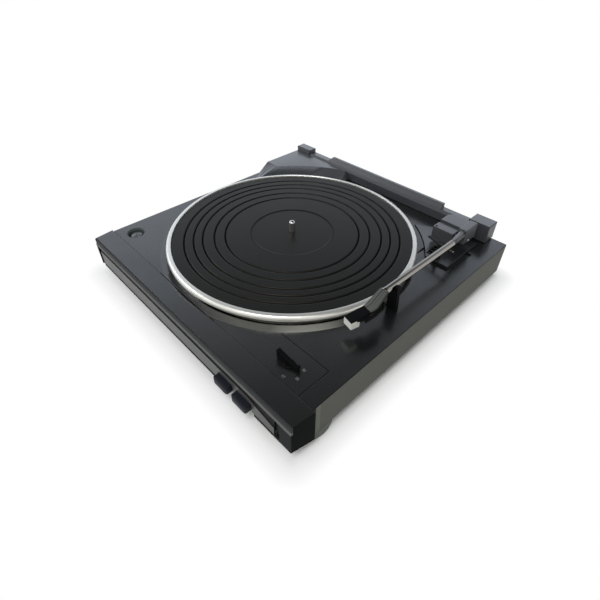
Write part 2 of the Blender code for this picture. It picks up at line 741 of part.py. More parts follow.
def bake(piece):
    """Keeps what the piece's modifiers make of it as its mesh."""
    depsgraph = bpy.context.evaluated_depsgraph_get()
    mesh = bpy.data.meshes.new_from_object(piece.evaluated_get(depsgraph))
    piece.modifiers.clear()
    piece.data = mesh
    return piece


def combine(piece, operation, others):
    for other in others:
        step = piece.modifiers.new(operation.lower(), "BOOLEAN")
        step.operation = operation
        step.solver = "EXACT"
        step.object = other
        other.hide_render = True
        other.display_type = "WIRE"
        other.parent = BODIES["base"]
        if other.name not in CUTTERS.objects:
            PARTS.objects.unlink(other)
            CUTTERS.objects.link(other)
    return piece


def cut(piece, *cutters):
    return combine(piece, "DIFFERENCE", cutters)


def join(piece, *others):
    return combine(piece, "UNION", others)


def rounded(piece, width, segments=2):
    """Rounds a piece's sharp edges."""
    step = piece.modifiers.new("edges", "BEVEL")
    step.width = width
    step.segments = segments
    step.limit_method = "ANGLE"
    return bake(piece)


def arc(centre, radius, start, end, steps):
    """Points along an arc, both ends included."""
    points = []
    for index in range(steps + 1):
        angle = start + (end - start) * index / steps
        points.append((centre[0] + radius * math.cos(angle), centre[1] + radius * math.sin(angle)))
    return points


def platter_arc(radius, start, end, steps=COVER_STEPS):
    return arc((PLATTER_X, PLATTER_Y), radius, start, end, steps)


def gear_outline(radius, teeth, place, phase=0.0):
    """Teeth with straight flanks around a tip circle."""
    points = []
    for tooth in range(teeth):
        middle = phase + 2 * math.pi * tooth / teeth
        for share, reach in ((-ROOT_TOOTH_SHARE, -TOOTH_DEPTH), (-TIP_TOOTH_SHARE, 0), (TIP_TOOTH_SHARE, 0),
                             (ROOT_TOOTH_SHARE, -TOOTH_DEPTH)):
            angle = middle + share * math.pi / teeth
            points.append((place[0] + (radius + reach) * math.cos(angle), place[1] + (radius + reach) * math.sin(angle)))
    return points


# Bodies that move, and what hangs on them

def new_body(name, place):
    """An empty on a joint's axis."""
    made = bpy.data.objects.new(name + "_axis", None)
    PARTS.objects.link(made)
    made.location = place
    made.parent = BODIES.get("base")
    BODIES[name] = made
    return made


def hang(body, piece, material_name, settings):
    """Gives a piece its finish and fixes it to a body, where it was drawn."""
    piece.data.materials.clear()
    piece.data.materials.append(finish(material_name, *settings))
    shade(piece)
    piece.parent = BODIES[body]
    piece.location = -BODIES[body].location if body != "base" else (0, 0, 0)
    return piece


def shade(piece):
    if piece.data.polygons:
        piece.data.shade_smooth()
        piece.data.set_sharp_from_angle(angle=math.radians(30))


# Cutters that more than one piece shares

def dish_cutter(name):
    """The space of the dish: a shallow slope down from the deck, then a wall down to the floor."""
    slope = (DISH_RADIUS - DISH_FLOOR_RADIUS) / DISH_SLOPE_DROP
    profile = [(0, DECK + OVERRUN), (DISH_RADIUS + slope * OVERRUN, DECK + OVERRUN),
               (DISH_FLOOR_RADIUS, DECK - DISH_SLOPE_DROP), (DISH_FLOOR_RADIUS, DISH_FLOOR), (0, DISH_FLOOR)]
    return turned(name, profile, (PLATTER_X, PLATTER_Y), LARGE_SIDES)


def dish_rim(name, margin):
    """An upright wall round the dish, for what stops at its rim."""
    return cylinder(name, DISH_RADIUS + margin, DISH_FLOOR, DECK + 2 * OVERRUN, (PLATTER_X, PLATTER_Y), LARGE_SIDES)


def vent_box(name, low, high):
    return box(name, (VENT_LEFT, VENT_FRONT, low), (VENT_RIGHT, VENT_REAR, high))


def plate_outline(margin):
    """The arm base plate seen from above: an arc beside the dish, then straight edges."""
    radius = PLATE_RADIUS - margin
    front = PLATE_FRONT - margin
    start = math.asin((front - PLATTER_Y) / radius)
    end = math.asin((PLATE_SHOULDER - PLATTER_Y) / radius)
    points = platter_arc(radius, start, end)
    rear = PLATE_REAR + margin
    right = PLATE_RIGHT + margin
    return points + [(PLATE_REAR_LEFT - margin, rear), (right, rear), (right, front)]


# Body shell and what closes it

def make_chassis():
    inside = HALF_WIDTH - WALL
    body = box("chassis", (-HALF_WIDTH, CHASSIS_FRONT, BODY_BOTTOM), (HALF_WIDTH, HALF_DEPTH, DECK))
    tongue_top = CAP_UNDERSIDE - GAP
    tongue_low = tongue_top - TONGUE_THICKNESS
    tongue = box("tongue_block", (-HALF_WIDTH + TONGUE_INSET, TONGUE_FRONT, DISH_UNDERSIDE),
                 (PANEL_RIGHT - TONGUE_THICKNESS - GAP, CHASSIS_FRONT + WALL, tongue_top))
    join(body, tongue)

    hollow = box("hollow", (-inside, CHASSIS_FRONT + WALL, BODY_BOTTOM - OVERRUN), (inside, HALF_DEPTH - WALL, DECK_UNDERSIDE))
    front_hollow = box("front_hollow", (-inside, TONGUE_FRONT - OVERRUN, BODY_BOTTOM - OVERRUN),
                       (inside, CHASSIS_FRONT + WALL + OVERRUN, tongue_low))
    bowl = cylinder("bowl", DISH_RADIUS + BOWL_WALL, DISH_UNDERSIDE, DECK + OVERRUN, (PLATTER_X, PLATTER_Y),
                    LARGE_SIDES)
    well_low = ARM_WELL_FLOOR - ARM_WELL_FLOOR_THICKNESS
    arm_pan = box("arm_pan", (ARM_WELL_LEFT, ARM_WELL_FRONT - WALL, well_low),
                  (ARM_WELL_RIGHT + WALL, PLATE_REAR + WALL, DECK + OVERRUN))
    plate_pan = plate("plate_pan", plate_outline(WALL), well_low, DECK + OVERRUN)
    cup = cylinder("cup", WELL_RADIUS + WELL_CHAMFER + WELL_WALL, DECK - WELL_DEPTH - WELL_WALL, DECK + OVERRUN,
                   (WELL_X, WELL_Y))
    join(hollow, front_hollow)
    cut(hollow, bowl, arm_pan, plate_pan, cup)
    cut(body, hollow)

    cut(body, dish_cutter("dish_space"))
    cut(body, box("arm_well", (ARM_WELL_LEFT, ARM_WELL_FRONT, ARM_WELL_FLOOR),
                  (ARM_WELL_RIGHT, ARM_WELL_REAR, DECK + OVERRUN)))
    cut(body, plate("plate_seat", plate_outline(GAP), ARM_WELL_FLOOR, DECK + OVERRUN))
    cut(body, vent_box("vent_hole", well_low - OVERRUN, DECK))
    pocket = box("control_pocket", (CONTROL_LEFT - GAP, CHASSIS_FRONT - OVERRUN, POCKET_FLOOR),
                 (CONTROL_RIGHT + GAP, CONTROL_REAR + GAP, DECK + OVERRUN))
    cut(body, cut(pocket, dish_rim("pocket_rim", 0)))
    well_profile = [(0, DECK + OVERRUN), (WELL_RADIUS + WELL_CHAMFER + OVERRUN, DECK + OVERRUN),
                    (WELL_RADIUS, DECK - WELL_CHAMFER), (WELL_RADIUS, DECK - WELL_DEPTH), (0, DECK - WELL_DEPTH)]
    cut(body, turned("screw_well", well_profile, (WELL_X, WELL_Y), SMALL_SIDES))

    holes = [("bush_hole", BUSH_RADIUS + GAP, DISH_UNDERSIDE, (PLATTER_X, PLATTER_Y)),
             ("cam_stud_hole", STUD_RADIUS + GAP, DISH_UNDERSIDE, (CAM_X, CAM_Y)),
             ("shaft_hole", SHAFT_HOLE_RADIUS, DISH_UNDERSIDE, (MOTOR_X, MOTOR_Y)),
             ("arm_bush_hole", ARM_BUSH_RADIUS + GAP, well_low, (ARM_X, ARM_Y)),
             ("lift_bush_hole", LIFT_ROD_RADIUS + LIFT_BUSH_WALL + GAP, well_low, (LIFT_X, LIFT_Y)),
             ("size_shaft_hole", SIZE_SHAFT_RADIUS + RUNNING_GAP, DECK_UNDERSIDE, (SIZE_X, SIZE_Y)),
             ("lock_hole", LOCK_SHANK_RADIUS + GAP, DECK - WELL_DEPTH - WELL_WALL, (WELL_X, WELL_Y))]
    for name, radius, low, place in holes:
        cut(body, cylinder(name, radius, low - OVERRUN, DECK, place))

    inside_wall = HALF_DEPTH - WALL - OVERRUN
    outside_wall = HALF_DEPTH + OVERRUN
    cut(body, box("jack_window", jack_window_corner(-1, inside_wall), jack_window_corner(1, outside_wall)))
    cut(body, box("inlet_window", inlet_corner(-1, inside_wall, GAP), inlet_corner(1, outside_wall, GAP)))

    for x in (-SCREW_X, SCREW_X):
        for y in (SCREW_FRONT_Y, SCREW_REAR_Y):
            name = "boss_" + corner_name(x, y)
            join(body, cylinder(name, BOSS_RADIUS, PAN_TOP + GAP, DECK_UNDERSIDE + OVERRUN, (x, y), TINY_SIDES))
            hole_top = PAN_BOTTOM + SCREW_LENGTH + GAP
            cut(body, cylinder(name + "_hole", SCREW_RADIUS + GAP, PAN_TOP, hole_top, (x, y), TINY_SIDES))
    hang("base", body, "charcoal_plastic", CHARCOAL)


def cap_side(y):
    """Half the cap's width at a depth: its ends flare towards the back."""
    return HALF_WIDTH + CAP_FLARE * (y + HALF_DEPTH) / CAP_DEPTH


def make_front_cap():
    rear_reach = cap_side(CAP_REAR)
    top = [(-HALF_WIDTH, -HALF_DEPTH), (HALF_WIDTH, -HALF_DEPTH), (rear_reach, CAP_REAR), (-rear_reach, CAP_REAR)]
    cap = plate("front_cap", top, CAP_UNDERSIDE, DECK)
    notch_back = NOTCH_FLOOR + NOTCH_BACK
    right = [(PANEL_RIGHT - NOTCH_BACK, NOTCH_FLOOR), (PILLAR_LEFT, NOTCH_FLOOR), (PILLAR_LEFT, -HALF_DEPTH),
             (HALF_WIDTH, -HALF_DEPTH), (cap_side(CAP_REAR), CAP_REAR), (cap_side(CAP_REAR) - WALL, CAP_REAR),
             (cap_side(notch_back) - WALL, notch_back), (PANEL_RIGHT - NOTCH_BACK, notch_back)]
    left = [(-HALF_WIDTH, -HALF_DEPTH), (-HALF_WIDTH + WALL, -HALF_DEPTH), (-cap_side(CAP_REAR) + WALL, CAP_REAR),
            (-cap_side(CAP_REAR), CAP_REAR)]
    overlap = CAP_UNDERSIDE + CAP_THICKNESS / 2
    join(cap, plate("right_cheek", right, BODY_BOTTOM, overlap), plate("left_cheek", left, BODY_BOTTOM, overlap))
    reach = HALF_WIDTH + CAP_FLARE + OVERRUN
    rise = [(-HALF_DEPTH - OVERRUN, BODY_BOTTOM + FRONT_RISE), (CAP_REAR, BODY_BOTTOM), (CAP_REAR, BODY_BOTTOM - OVERRUN),
            (-HALF_DEPTH - OVERRUN, BODY_BOTTOM - OVERRUN)]
    cut(cap, bar("cap_rise", rise, -reach, reach), dish_cutter("cap_dish_space"))
    hang("base", cap, "cap_plastic", CHARCOAL)


def button_corner(x, side, y, margin):
    """A corner of a button, or of its window where the margin is more than nothing."""
    return (x + side * (BUTTON_WIDTH / 2 + margin), y, BUTTON_MIDDLE + side * (BUTTON_HEIGHT / 2 + margin))


def make_front_panel():
    left = -HALF_WIDTH + WALL + GAP
    panel = box("front_panel", (left, PANEL_FRONT, PANEL_BOTTOM), (PANEL_RIGHT, PANEL_BACK, CAP_UNDERSIDE - GAP))
    for index, x in enumerate(BUTTON_X):
        cut(panel, box(f"button_window_{index}", button_corner(x, -1, PANEL_FRONT - OVERRUN, BUTTON_SLIT),
                       button_corner(x, 1, PANEL_BACK + OVERRUN, BUTTON_SLIT)))
    hang("base", panel, "satin_grey_panel", GREY_PANEL)


def make_button(name, x):
    new_body(name, (x, BUTTON_FRONT, BUTTON_MIDDLE))
    low = BUTTON_MIDDLE - BUTTON_HEIGHT / 2
    high = BUTTON_MIDDLE + BUTTON_HEIGHT / 2
    flange_front = PANEL_BACK + GAP
    half = BUTTON_WIDTH / 2
    face = [(x + half * share, BUTTON_FRONT + BUTTON_BOW * share * share) for share in (-1, -0.6, -0.2, 0.2, 0.6, 1)]
    cap = plate(name, face + [(x + half, flange_front), (x - half, flange_front)], low, high)
    rounded(cap, BUTTON_BOW / 2)
    flange = box(name + "_flange", button_corner(x, -1, flange_front - MERGE, BUTTON_FLANGE),
                 button_corner(x, 1, flange_front + BUTTON_FLANGE_THICKNESS, BUTTON_FLANGE))
    stem = rod(name + "_stem", STEM_RADIUS, (x, flange_front, BUTTON_MIDDLE), (x, SWITCH_FRONT + STEM_BITE, BUTTON_MIDDLE), TINY_SIDES)
    join(cap, flange, stem)
    hang(name, cap, name + "_black", BLACK)


def make_switch_board():
    middle = (BUTTON_X[0] + BUTTON_X[1]) / 2
    low = PAN_TOP + GAP
    board = box("switch_board", (middle - SWITCH_BOARD_WIDTH / 2, SWITCH_BACK, low),
                (middle + SWITCH_BOARD_WIDTH / 2, SWITCH_BACK + BOARD_THICKNESS, low + SWITCH_BOARD_HEIGHT))
    half = SWITCH_SIZE / 2
    for index, x in enumerate(BUTTON_X):
        join(board, box(f"switch_{index}", (x - half, SWITCH_FRONT, BUTTON_MIDDLE - half),
                        (x + half, SWITCH_BACK + MERGE * 10, BUTTON_MIDDLE + half)))
        cut(board, rod(f"switch_bore_{index}", STEM_RADIUS + GAP, (x, SWITCH_FRONT - OVERRUN, BUTTON_MIDDLE),
                       (x, SWITCH_BACK - SWITCH_FLOOR, BUTTON_MIDDLE), TINY_SIDES))
    hang("base", board, "switch_board_green", GREEN_BOARD)


def make_base_pan():
    side = HALF_WIDTH - WALL - GAP
    pan = box("base_pan", (-side, PANEL_BACK + PAN_SETBACK, PAN_BOTTOM), (side, HALF_DEPTH - WALL - GAP, PAN_TOP))
    for index, (x, y) in enumerate(screw_places()):
        cut(pan, cylinder(f"pan_hole_{index}", SCREW_RADIUS + GAP, PAN_BOTTOM - OVERRUN, PAN_TOP + OVERRUN, (x, y), TINY_SIDES))
    for index, (x, y) in enumerate(standoff_places()):
        join(pan, cylinder(f"standoff_{index}", STANDOFF_RADIUS, PAN_TOP - MERGE * 10, PAN_TOP + STANDOFF_HEIGHT, (x, y), TINY_SIDES))
    hang("base", pan, "pan_black", BLACK)


def corner_name(x, y):
    side = "left" if x < 0 else "right"
    return ("front_" if y < 0 else "rear_") + side


def screw_places():
    return [(x, y) for x in (-SCREW_X, SCREW_X) for y in (SCREW_FRONT_Y, SCREW_REAR_Y)]


def standoff_places():
    right = CIRCUIT_LEFT + CIRCUIT_WIDTH - STANDOFF_INSET
    rear = CIRCUIT_FRONT + CIRCUIT_DEPTH - STANDOFF_INSET
    return [(x, y) for x in (CIRCUIT_LEFT + STANDOFF_INSET, right) for y in (CIRCUIT_FRONT + STANDOFF_INSET, rear)]


def make_base_screws():
    head_top = PAN_BOTTOM - GAP
    for x, y in screw_places():
        profile = [(0, PAN_BOTTOM + SCREW_LENGTH), (SCREW_RADIUS, PAN_BOTTOM + SCREW_LENGTH), (SCREW_RADIUS, head_top),
                   (SCREW_HEAD_RADIUS, head_top), (SCREW_HEAD_RADIUS, head_top - SCREW_HEAD_HEIGHT),
                   (0, head_top - SCREW_HEAD_HEIGHT)]
        name = "base_screw_" + corner_name(x, y)
        hang("base", turned(name, profile, (x, y), TINY_SIDES), name + "_steel", STEEL)


def make_foot(name, x, y):
    neck_top = PAN_BOTTOM - GAP
    shoulder = BODY_BOTTOM - FOOT_CLEARANCE
    profile = [(0, neck_top), (FOOT_NECK_RADIUS, neck_top), (FOOT_NECK_RADIUS, shoulder), (FOOT_RADIUS - FOOT_EDGE, shoulder),
               (FOOT_RADIUS, shoulder - FOOT_EDGE), (FOOT_RADIUS, FOOT_EDGE), (FOOT_RADIUS - FOOT_EDGE, 0), (0, 0)]
    hang("base", turned(name, profile, (x, y), SMALL_SIDES), name + "_rubber", ((0.11, 0.11, 0.11), 0.6))


# Platter and its drive

def make_platter():
    crest_outer = RECESS_RADIUS + CREST_WIDTH
    edge_top = CREST - BEVEL_DROP
    lip_bottom = edge_top - EDGE_DROP - LIP_DEPTH
    bore = SPINDLE_RADIUS + GAP
    profile = [(bore, WEB_TOP), (RECESS_RADIUS, WEB_TOP), (RECESS_RADIUS, CREST), (crest_outer, CREST),
               (PLATTER_RADIUS - EDGE_ROUND, edge_top), (PLATTER_RADIUS, edge_top - EDGE_DROP),
               (PLATTER_RADIUS, lip_bottom), (SKIRT_RADIUS, lip_bottom), (SKIRT_RADIUS, RIM_BOTTOM),
               (SKIRT_RADIUS - RIM_THICKNESS, RIM_BOTTOM), (SKIRT_RADIUS - RIM_THICKNESS, WEB_BOTTOM),
               (BELT_RIM_RADIUS, WEB_BOTTOM), (BELT_RIM_RADIUS, BELT_RIM_BOTTOM),
               (BELT_RIM_RADIUS - BELT_RIM_THICKNESS, BELT_RIM_BOTTOM), (BELT_RIM_RADIUS - BELT_RIM_THICKNESS, WEB_BOTTOM),
               (HUB_RADIUS, WEB_BOTTOM), (HUB_RADIUS, HUB_BOTTOM), (bore, HUB_BOTTOM)]
    platter = turned("platter", profile, (PLATTER_X, PLATTER_Y), LARGE_SIDES, ring=True)
    hang("platter_unit", platter, "platter_aluminium", ALUMINIUM)


def make_platter_mat():
    bore = SPINDLE_RADIUS + GAP
    label = MAT_TOP - LABEL_DEPTH
    profile = [(bore, label), (LABEL_RADIUS, label), (LABEL_RADIUS, MAT_TOP)]
    for share in GROOVE_RADIUS_SHARES:
        middle = MAT_RADIUS * share
        profile += [(middle - MAT_GROOVE_HALF, MAT_TOP), (middle, MAT_TOP - MAT_GROOVE_DEPTH), (middle + MAT_GROOVE_HALF, MAT_TOP)]
    profile += [(MAT_RADIUS, MAT_TOP), (MAT_RADIUS, MAT_BOTTOM), (bore, MAT_BOTTOM)]
    mat = turned("platter_mat", profile, (PLATTER_X, PLATTER_Y), MAT_SIDES, ring=True)
    hang("platter_unit", mat, "mat_rubber", RUBBER)


def make_spindle():
    low = BUSH_BORE_FLOOR + GAP
    tip = SPINDLE_RADIUS * 0.45
    profile = [(0, SPINDLE_TOP), (tip, SPINDLE_TOP), (SPINDLE_RADIUS, SPINDLE_TOP - SPINDLE_TIP), (SPINDLE_RADIUS, low), (0, low)]
    hang("platter_unit", turned("spindle", profile, (PLATTER_X, PLATTER_Y), SMALL_SIDES), "spindle_steel", STEEL)


def make_bearing_bush():
    flange_top = DISH_UNDERSIDE - GAP
    flange_low = flange_top - BUSH_FLANGE_THICKNESS
    flange = BUSH_RADIUS + BUSH_FLANGE_WIDTH
    bore = SPINDLE_RADIUS + RUNNING_GAP
    profile = [(0, BUSH_BORE_FLOOR), (bore, BUSH_BORE_FLOOR), (bore, BUSH_TOP), (BUSH_RADIUS, BUSH_TOP),
               (BUSH_RADIUS, flange_top), (flange, flange_top), (flange, flange_low), (BUSH_RADIUS, flange_low),
               (BUSH_RADIUS, BUSH_BOTTOM), (0, BUSH_BOTTOM)]
    bush = turned("bearing_bush", profile, (PLATTER_X, PLATTER_Y), SMALL_SIDES)
    hang("base", bush, "bush_brass", BRASS)


def make_hub_pinion():
    outline = gear_outline(PINION_RADIUS, PINION_TEETH, (PLATTER_X, PLATTER_Y), CAM_GEAR_ANGLE)
    pinion = plate("hub_pinion", outline, PINION_BOTTOM, PINION_TOP)
    cut(pinion, cylinder("pinion_bore", BUSH_RADIUS + PINION_BUSH_GAP, PINION_BOTTOM - OVERRUN, PINION_TOP + OVERRUN,
                         (PLATTER_X, PLATTER_Y)))
    hang("platter_unit", pinion, "pinion_nylon", NATURAL_NYLON)


def make_cam_gear():
    place = (CAM_X, CAM_Y)
    gear = plate("cam_gear", gear_outline(CAM_GEAR_RADIUS, CAM_GEAR_TEETH, place, CAM_GEAR_ANGLE), CAM_BOTTOM, CAM_TOP)
    track = [(CAM_TRACK_INNER, CAM_BOTTOM + CAM_TRACK_DEPTH), (CAM_TRACK_OUTER, CAM_BOTTOM + CAM_TRACK_DEPTH),
             (CAM_TRACK_OUTER, CAM_BOTTOM - OVERRUN), (CAM_TRACK_INNER, CAM_BOTTOM - OVERRUN)]
    cut(gear, cylinder("cam_bore", STUD_RADIUS + RUNNING_GAP, CAM_BOTTOM - OVERRUN, CAM_TOP + OVERRUN, place),
        turned("cam_track", track, place, SMALL_SIDES, ring=True))
    hang("cam", gear, "cam_gear_nylon", NATURAL_NYLON)


def make_cam_stud():
    flange_low = DISH_FLOOR + GAP
    clip_low = CAM_TOP + GAP
    clip_top = clip_low + STUD_CLIP_THICKNESS
    foot = DISH_UNDERSIDE - OVERRUN
    profile = [(0, clip_top), (STUD_FLANGE_RADIUS, clip_top), (STUD_FLANGE_RADIUS, clip_low), (STUD_RADIUS, clip_low),
               (STUD_RADIUS, flange_low + STUD_FLANGE_THICKNESS), (STUD_FLANGE_RADIUS, flange_low + STUD_FLANGE_THICKNESS),
               (STUD_FLANGE_RADIUS, flange_low), (STUD_RADIUS, flange_low), (STUD_RADIUS, foot), (0, foot)]
    hang("base", turned("cam_stud", profile, (CAM_X, CAM_Y), SMALL_SIDES), "stud_steel", STEEL)


def lever_outline(place, heading, reach, back_reach, end_radius):
    """A straight lever with round ends, before and behind its pivot."""
    ahead = (place[0] + reach * math.cos(heading), place[1] + reach * math.sin(heading))
    behind = (place[0] - back_reach * math.cos(heading), place[1] - back_reach * math.sin(heading))
    quarter = math.pi / 2
    return arc(ahead, end_radius, heading - quarter, heading + quarter, 6) + arc(behind, end_radius, heading + quarter,
                                                                                heading + 3 * quarter, 6)


def make_return_lever():
    place = (LEVER_X, LEVER_Y)
    heading = math.atan2(CAM_Y - LEVER_Y, CAM_X - LEVER_X)
    outline = lever_outline(place, heading, LEVER_INNER_REACH, LEVER_OUTER_REACH, LEVER_END_RADIUS)
    lever = plate("return_lever", outline, LEVER_BOTTOM, LEVER_TOP)
    cut(lever, cylinder("lever_bore", LEVER_STUD_RADIUS + RUNNING_GAP, LEVER_BOTTOM - OVERRUN, LEVER_TOP + OVERRUN, place))
    hang("return", lever, "lever_steel", STEEL)


def make_lever_stud():
    top = DISH_UNDERSIDE - GAP
    head_top = LEVER_BOTTOM - GAP
    low = head_top - LEVER_STUD_HEAD_HEIGHT
    profile = [(0, top), (LEVER_STUD_RADIUS, top), (LEVER_STUD_RADIUS, head_top), (LEVER_STUD_HEAD, head_top),
               (LEVER_STUD_HEAD, low), (0, low)]
    hang("base", turned("lever_stud", profile, (LEVER_X, LEVER_Y), SMALL_SIDES), "lever_stud_steel", STEEL)


def make_motor():
    place = (MOTOR_X, MOTOR_Y)
    motor = cylinder("motor", MOTOR_RADIUS, MOTOR_BOTTOM, MOTOR_TOP, place, SMALL_SIDES)
    cut(motor, cylinder("motor_bore", SHAFT_RADIUS + RUNNING_GAP, MOTOR_TOP - SHAFT_DEPTH, MOTOR_TOP + OVERRUN, place, TINY_SIDES))
    hang("base", motor, "motor_steel", STEEL)
    for index in range(MOUNT_COUNT):
        angle = 2 * math.pi * index / MOUNT_COUNT
        spot = (MOTOR_X + MOUNT_CIRCLE * math.cos(angle), MOTOR_Y + MOUNT_CIRCLE * math.sin(angle))
        name = f"motor_mount_{index + 1}"
        hang("base", cylinder(name, MOUNT_RADIUS, MOUNT_TOP - MOUNT_HEIGHT, MOUNT_TOP, spot, TINY_SIDES), name + "_rubber", RUBBER)


def make_pulley():
    place = (MOTOR_X, MOTOR_Y)
    shaft = cylinder("motor_shaft", SHAFT_RADIUS, MOTOR_TOP - SHAFT_DEPTH + GAP, PULLEY_TOP, place, TINY_SIDES)
    hang("pulley", shaft, "shaft_steel", STEEL)
    bore = SHAFT_RADIUS + GAP
    collar_low = PULLEY_BOTTOM - PULLEY_COLLAR_HEIGHT
    profile = [(bore, PULLEY_TOP), (PULLEY_RADIUS, PULLEY_TOP), (PULLEY_RADIUS, PULLEY_BOTTOM),
               (PULLEY_COLLAR_RADIUS, PULLEY_BOTTOM), (PULLEY_COLLAR_RADIUS, collar_low), (bore, collar_low)]
    hang("pulley", turned("motor_pulley", profile, place, SMALL_SIDES, ring=True), "pulley_brass", BRASS)


def belt_loop(margin):
    """The belt's path around the platter's inner rim and the pulley."""
    large = BELT_RIM_RADIUS + margin
    small = PULLEY_RADIUS + margin
    lean = math.acos((large - small) / MOTOR_DISTANCE)
    around_rim = platter_arc(large, MOTOR_ANGLE + lean, MOTOR_ANGLE - lean + 2 * math.pi, MEDIUM_SIDES)
    around_pulley = arc((MOTOR_X, MOTOR_Y), small, MOTOR_ANGLE - lean, MOTOR_ANGLE + lean, TINY_SIDES)
    return around_rim + around_pulley


def make_belt():
    low = BELT_MIDDLE - BELT_WIDTH / 2
    high = BELT_MIDDLE + BELT_WIDTH / 2
    hang("base", plate("drive_belt", [belt_loop(GAP + BELT_THICKNESS), belt_loop(GAP)], low, high), "belt_rubber", RUBBER)


# Control panel, size lever and locking screw

def make_control_panel():
    panel = box("control_panel", (CONTROL_LEFT, CHASSIS_FRONT, POCKET_FLOOR + GAP), (CONTROL_RIGHT, CONTROL_REAR, DECK))
    cut(panel, dish_rim("control_rim", GAP),
        cylinder("control_hole", SIZE_SHAFT_RADIUS + RUNNING_GAP, POCKET_FLOOR - OVERRUN, DECK + OVERRUN, (SIZE_X, SIZE_Y)))
    hang("base", panel, "control_plastic", CHARCOAL)


def make_size_lever():
    place = (SIZE_X, SIZE_Y)
    base_low = DECK + GAP
    base_top = base_low + SIZE_BASE_HEIGHT
    shaft_low = DECK - SIZE_SHAFT_LENGTH
    collar_top = DECK_UNDERSIDE - GAP
    profile = [(0, base_top), (SIZE_BASE_RADIUS, base_top), (SIZE_BASE_RADIUS, base_low), (SIZE_SHAFT_RADIUS, base_low),
               (SIZE_SHAFT_RADIUS, collar_top), (SIZE_COLLAR_RADIUS, collar_top),
               (SIZE_COLLAR_RADIUS, collar_top - SIZE_COLLAR_HEIGHT), (SIZE_SHAFT_RADIUS, collar_top - SIZE_COLLAR_HEIGHT),
               (SIZE_SHAFT_RADIUS, shaft_low), (0, shaft_low)]
    lever = turned("size_lever", profile, place, SMALL_SIDES)
    low = base_low + SIZE_FIN_LIFT
    fin = [(-SIZE_GRIP_REACH, low), (SIZE_POINTER_REACH, low), (SIZE_POINTER_REACH, DECK + SIZE_POINTER_HEIGHT),
           (SIZE_POINTER_REACH * SIZE_SHOULDER_SHARE, DECK + SIZE_POINTER_HEIGHT), (-SIZE_GRIP_REACH, DECK + SIZE_GRIP_HEIGHT)]
    blade = plate("size_fin", fin, -SIZE_FIN_HALF, SIZE_FIN_HALF)
    for vertex in blade.data.vertices:
        vertex.co = (SIZE_X + vertex.co.x, SIZE_Y - vertex.co.z, vertex.co.y)
    turn_about(blade, place, SIZE_HEADING)
    join(lever, blade)
    hang("size_lever", lever, "size_lever_black", BLACK)


def make_locking_screw():
    low = DECK - WELL_DEPTH + GAP
    edge = low + LOCK_HEAD_HEIGHT
    crown = edge + LOCK_HEAD_DOME
    shoulder = LOCK_HEAD_RADIUS - LOCK_HEAD_DOME
    shank_low = low - LOCK_SHANK_LENGTH
    profile = [(0, crown), (shoulder / 2, crown - LOCK_HEAD_DOME / 4), (LOCK_HEAD_RADIUS, edge), (LOCK_HEAD_RADIUS, low),
               (LOCK_SHANK_RADIUS, low), (LOCK_SHANK_RADIUS, shank_low), (0, shank_low)]
    screw = turned("locking_screw", profile, (WELL_X, WELL_Y), SMALL_SIDES)
    cut(screw, box("lock_slot", (WELL_X - WELL_RADIUS, WELL_Y - LOCK_SLOT_WIDTH / 2, crown - LOCK_SLOT_DEPTH),
                   (WELL_X + WELL_RADIUS, WELL_Y + LOCK_SLOT_WIDTH / 2, crown + OVERRUN)))
    hang("base", screw, "locking_screw_plastic", BLACK)


# Rear cover, rail and hinge sockets

def cover_rings(inset, top):
    """The cover's outline on the deck and its smaller one on top, with as many points."""
    left = -HALF_WIDTH + inset
    rear = RAIL_FRONT - GAP - inset
    low_arc = platter_arc(DISH_RADIUS + GAP + inset, COVER_LOW_START, COVER_END)
    high_arc = platter_arc(COVER_TOP_RADIUS + inset, COVER_HIGH_START, COVER_END)
    tip_x = low_arc[-1][0]
    low_tip = (tip_x, rear)
    high_tip_x = high_arc[-1][0] - inset
    high_arc[-1] = (high_tip_x, rear - COVER_TIP_WIDTH)
    high_tip = (high_tip_x + COVER_TIP_WIDTH / 2, rear)
    low_ring = [(left, COVER_FRONT_LOW + inset)] + low_arc + [low_tip, (left, rear)]
    high_ring = [(left, COVER_FRONT_HIGH + inset)] + high_arc + [high_tip, (left, rear)]
    bottom = DECK + GAP if inset == 0 else DECK + GAP - OVERRUN
    return [[(x, y, bottom) for x, y in low_ring], [(x, y, top) for x, y in high_ring]]


def make_corner_cover():
    cover = loft("corner_cover", cover_rings(0, DECK + COVER_HEIGHT))
    cut(cover, loft("cover_hollow", cover_rings(COVER_WALL, DECK + COVER_HEIGHT - COVER_WALL)))
    hang("base", cover, "cover_plastic", CHARCOAL)


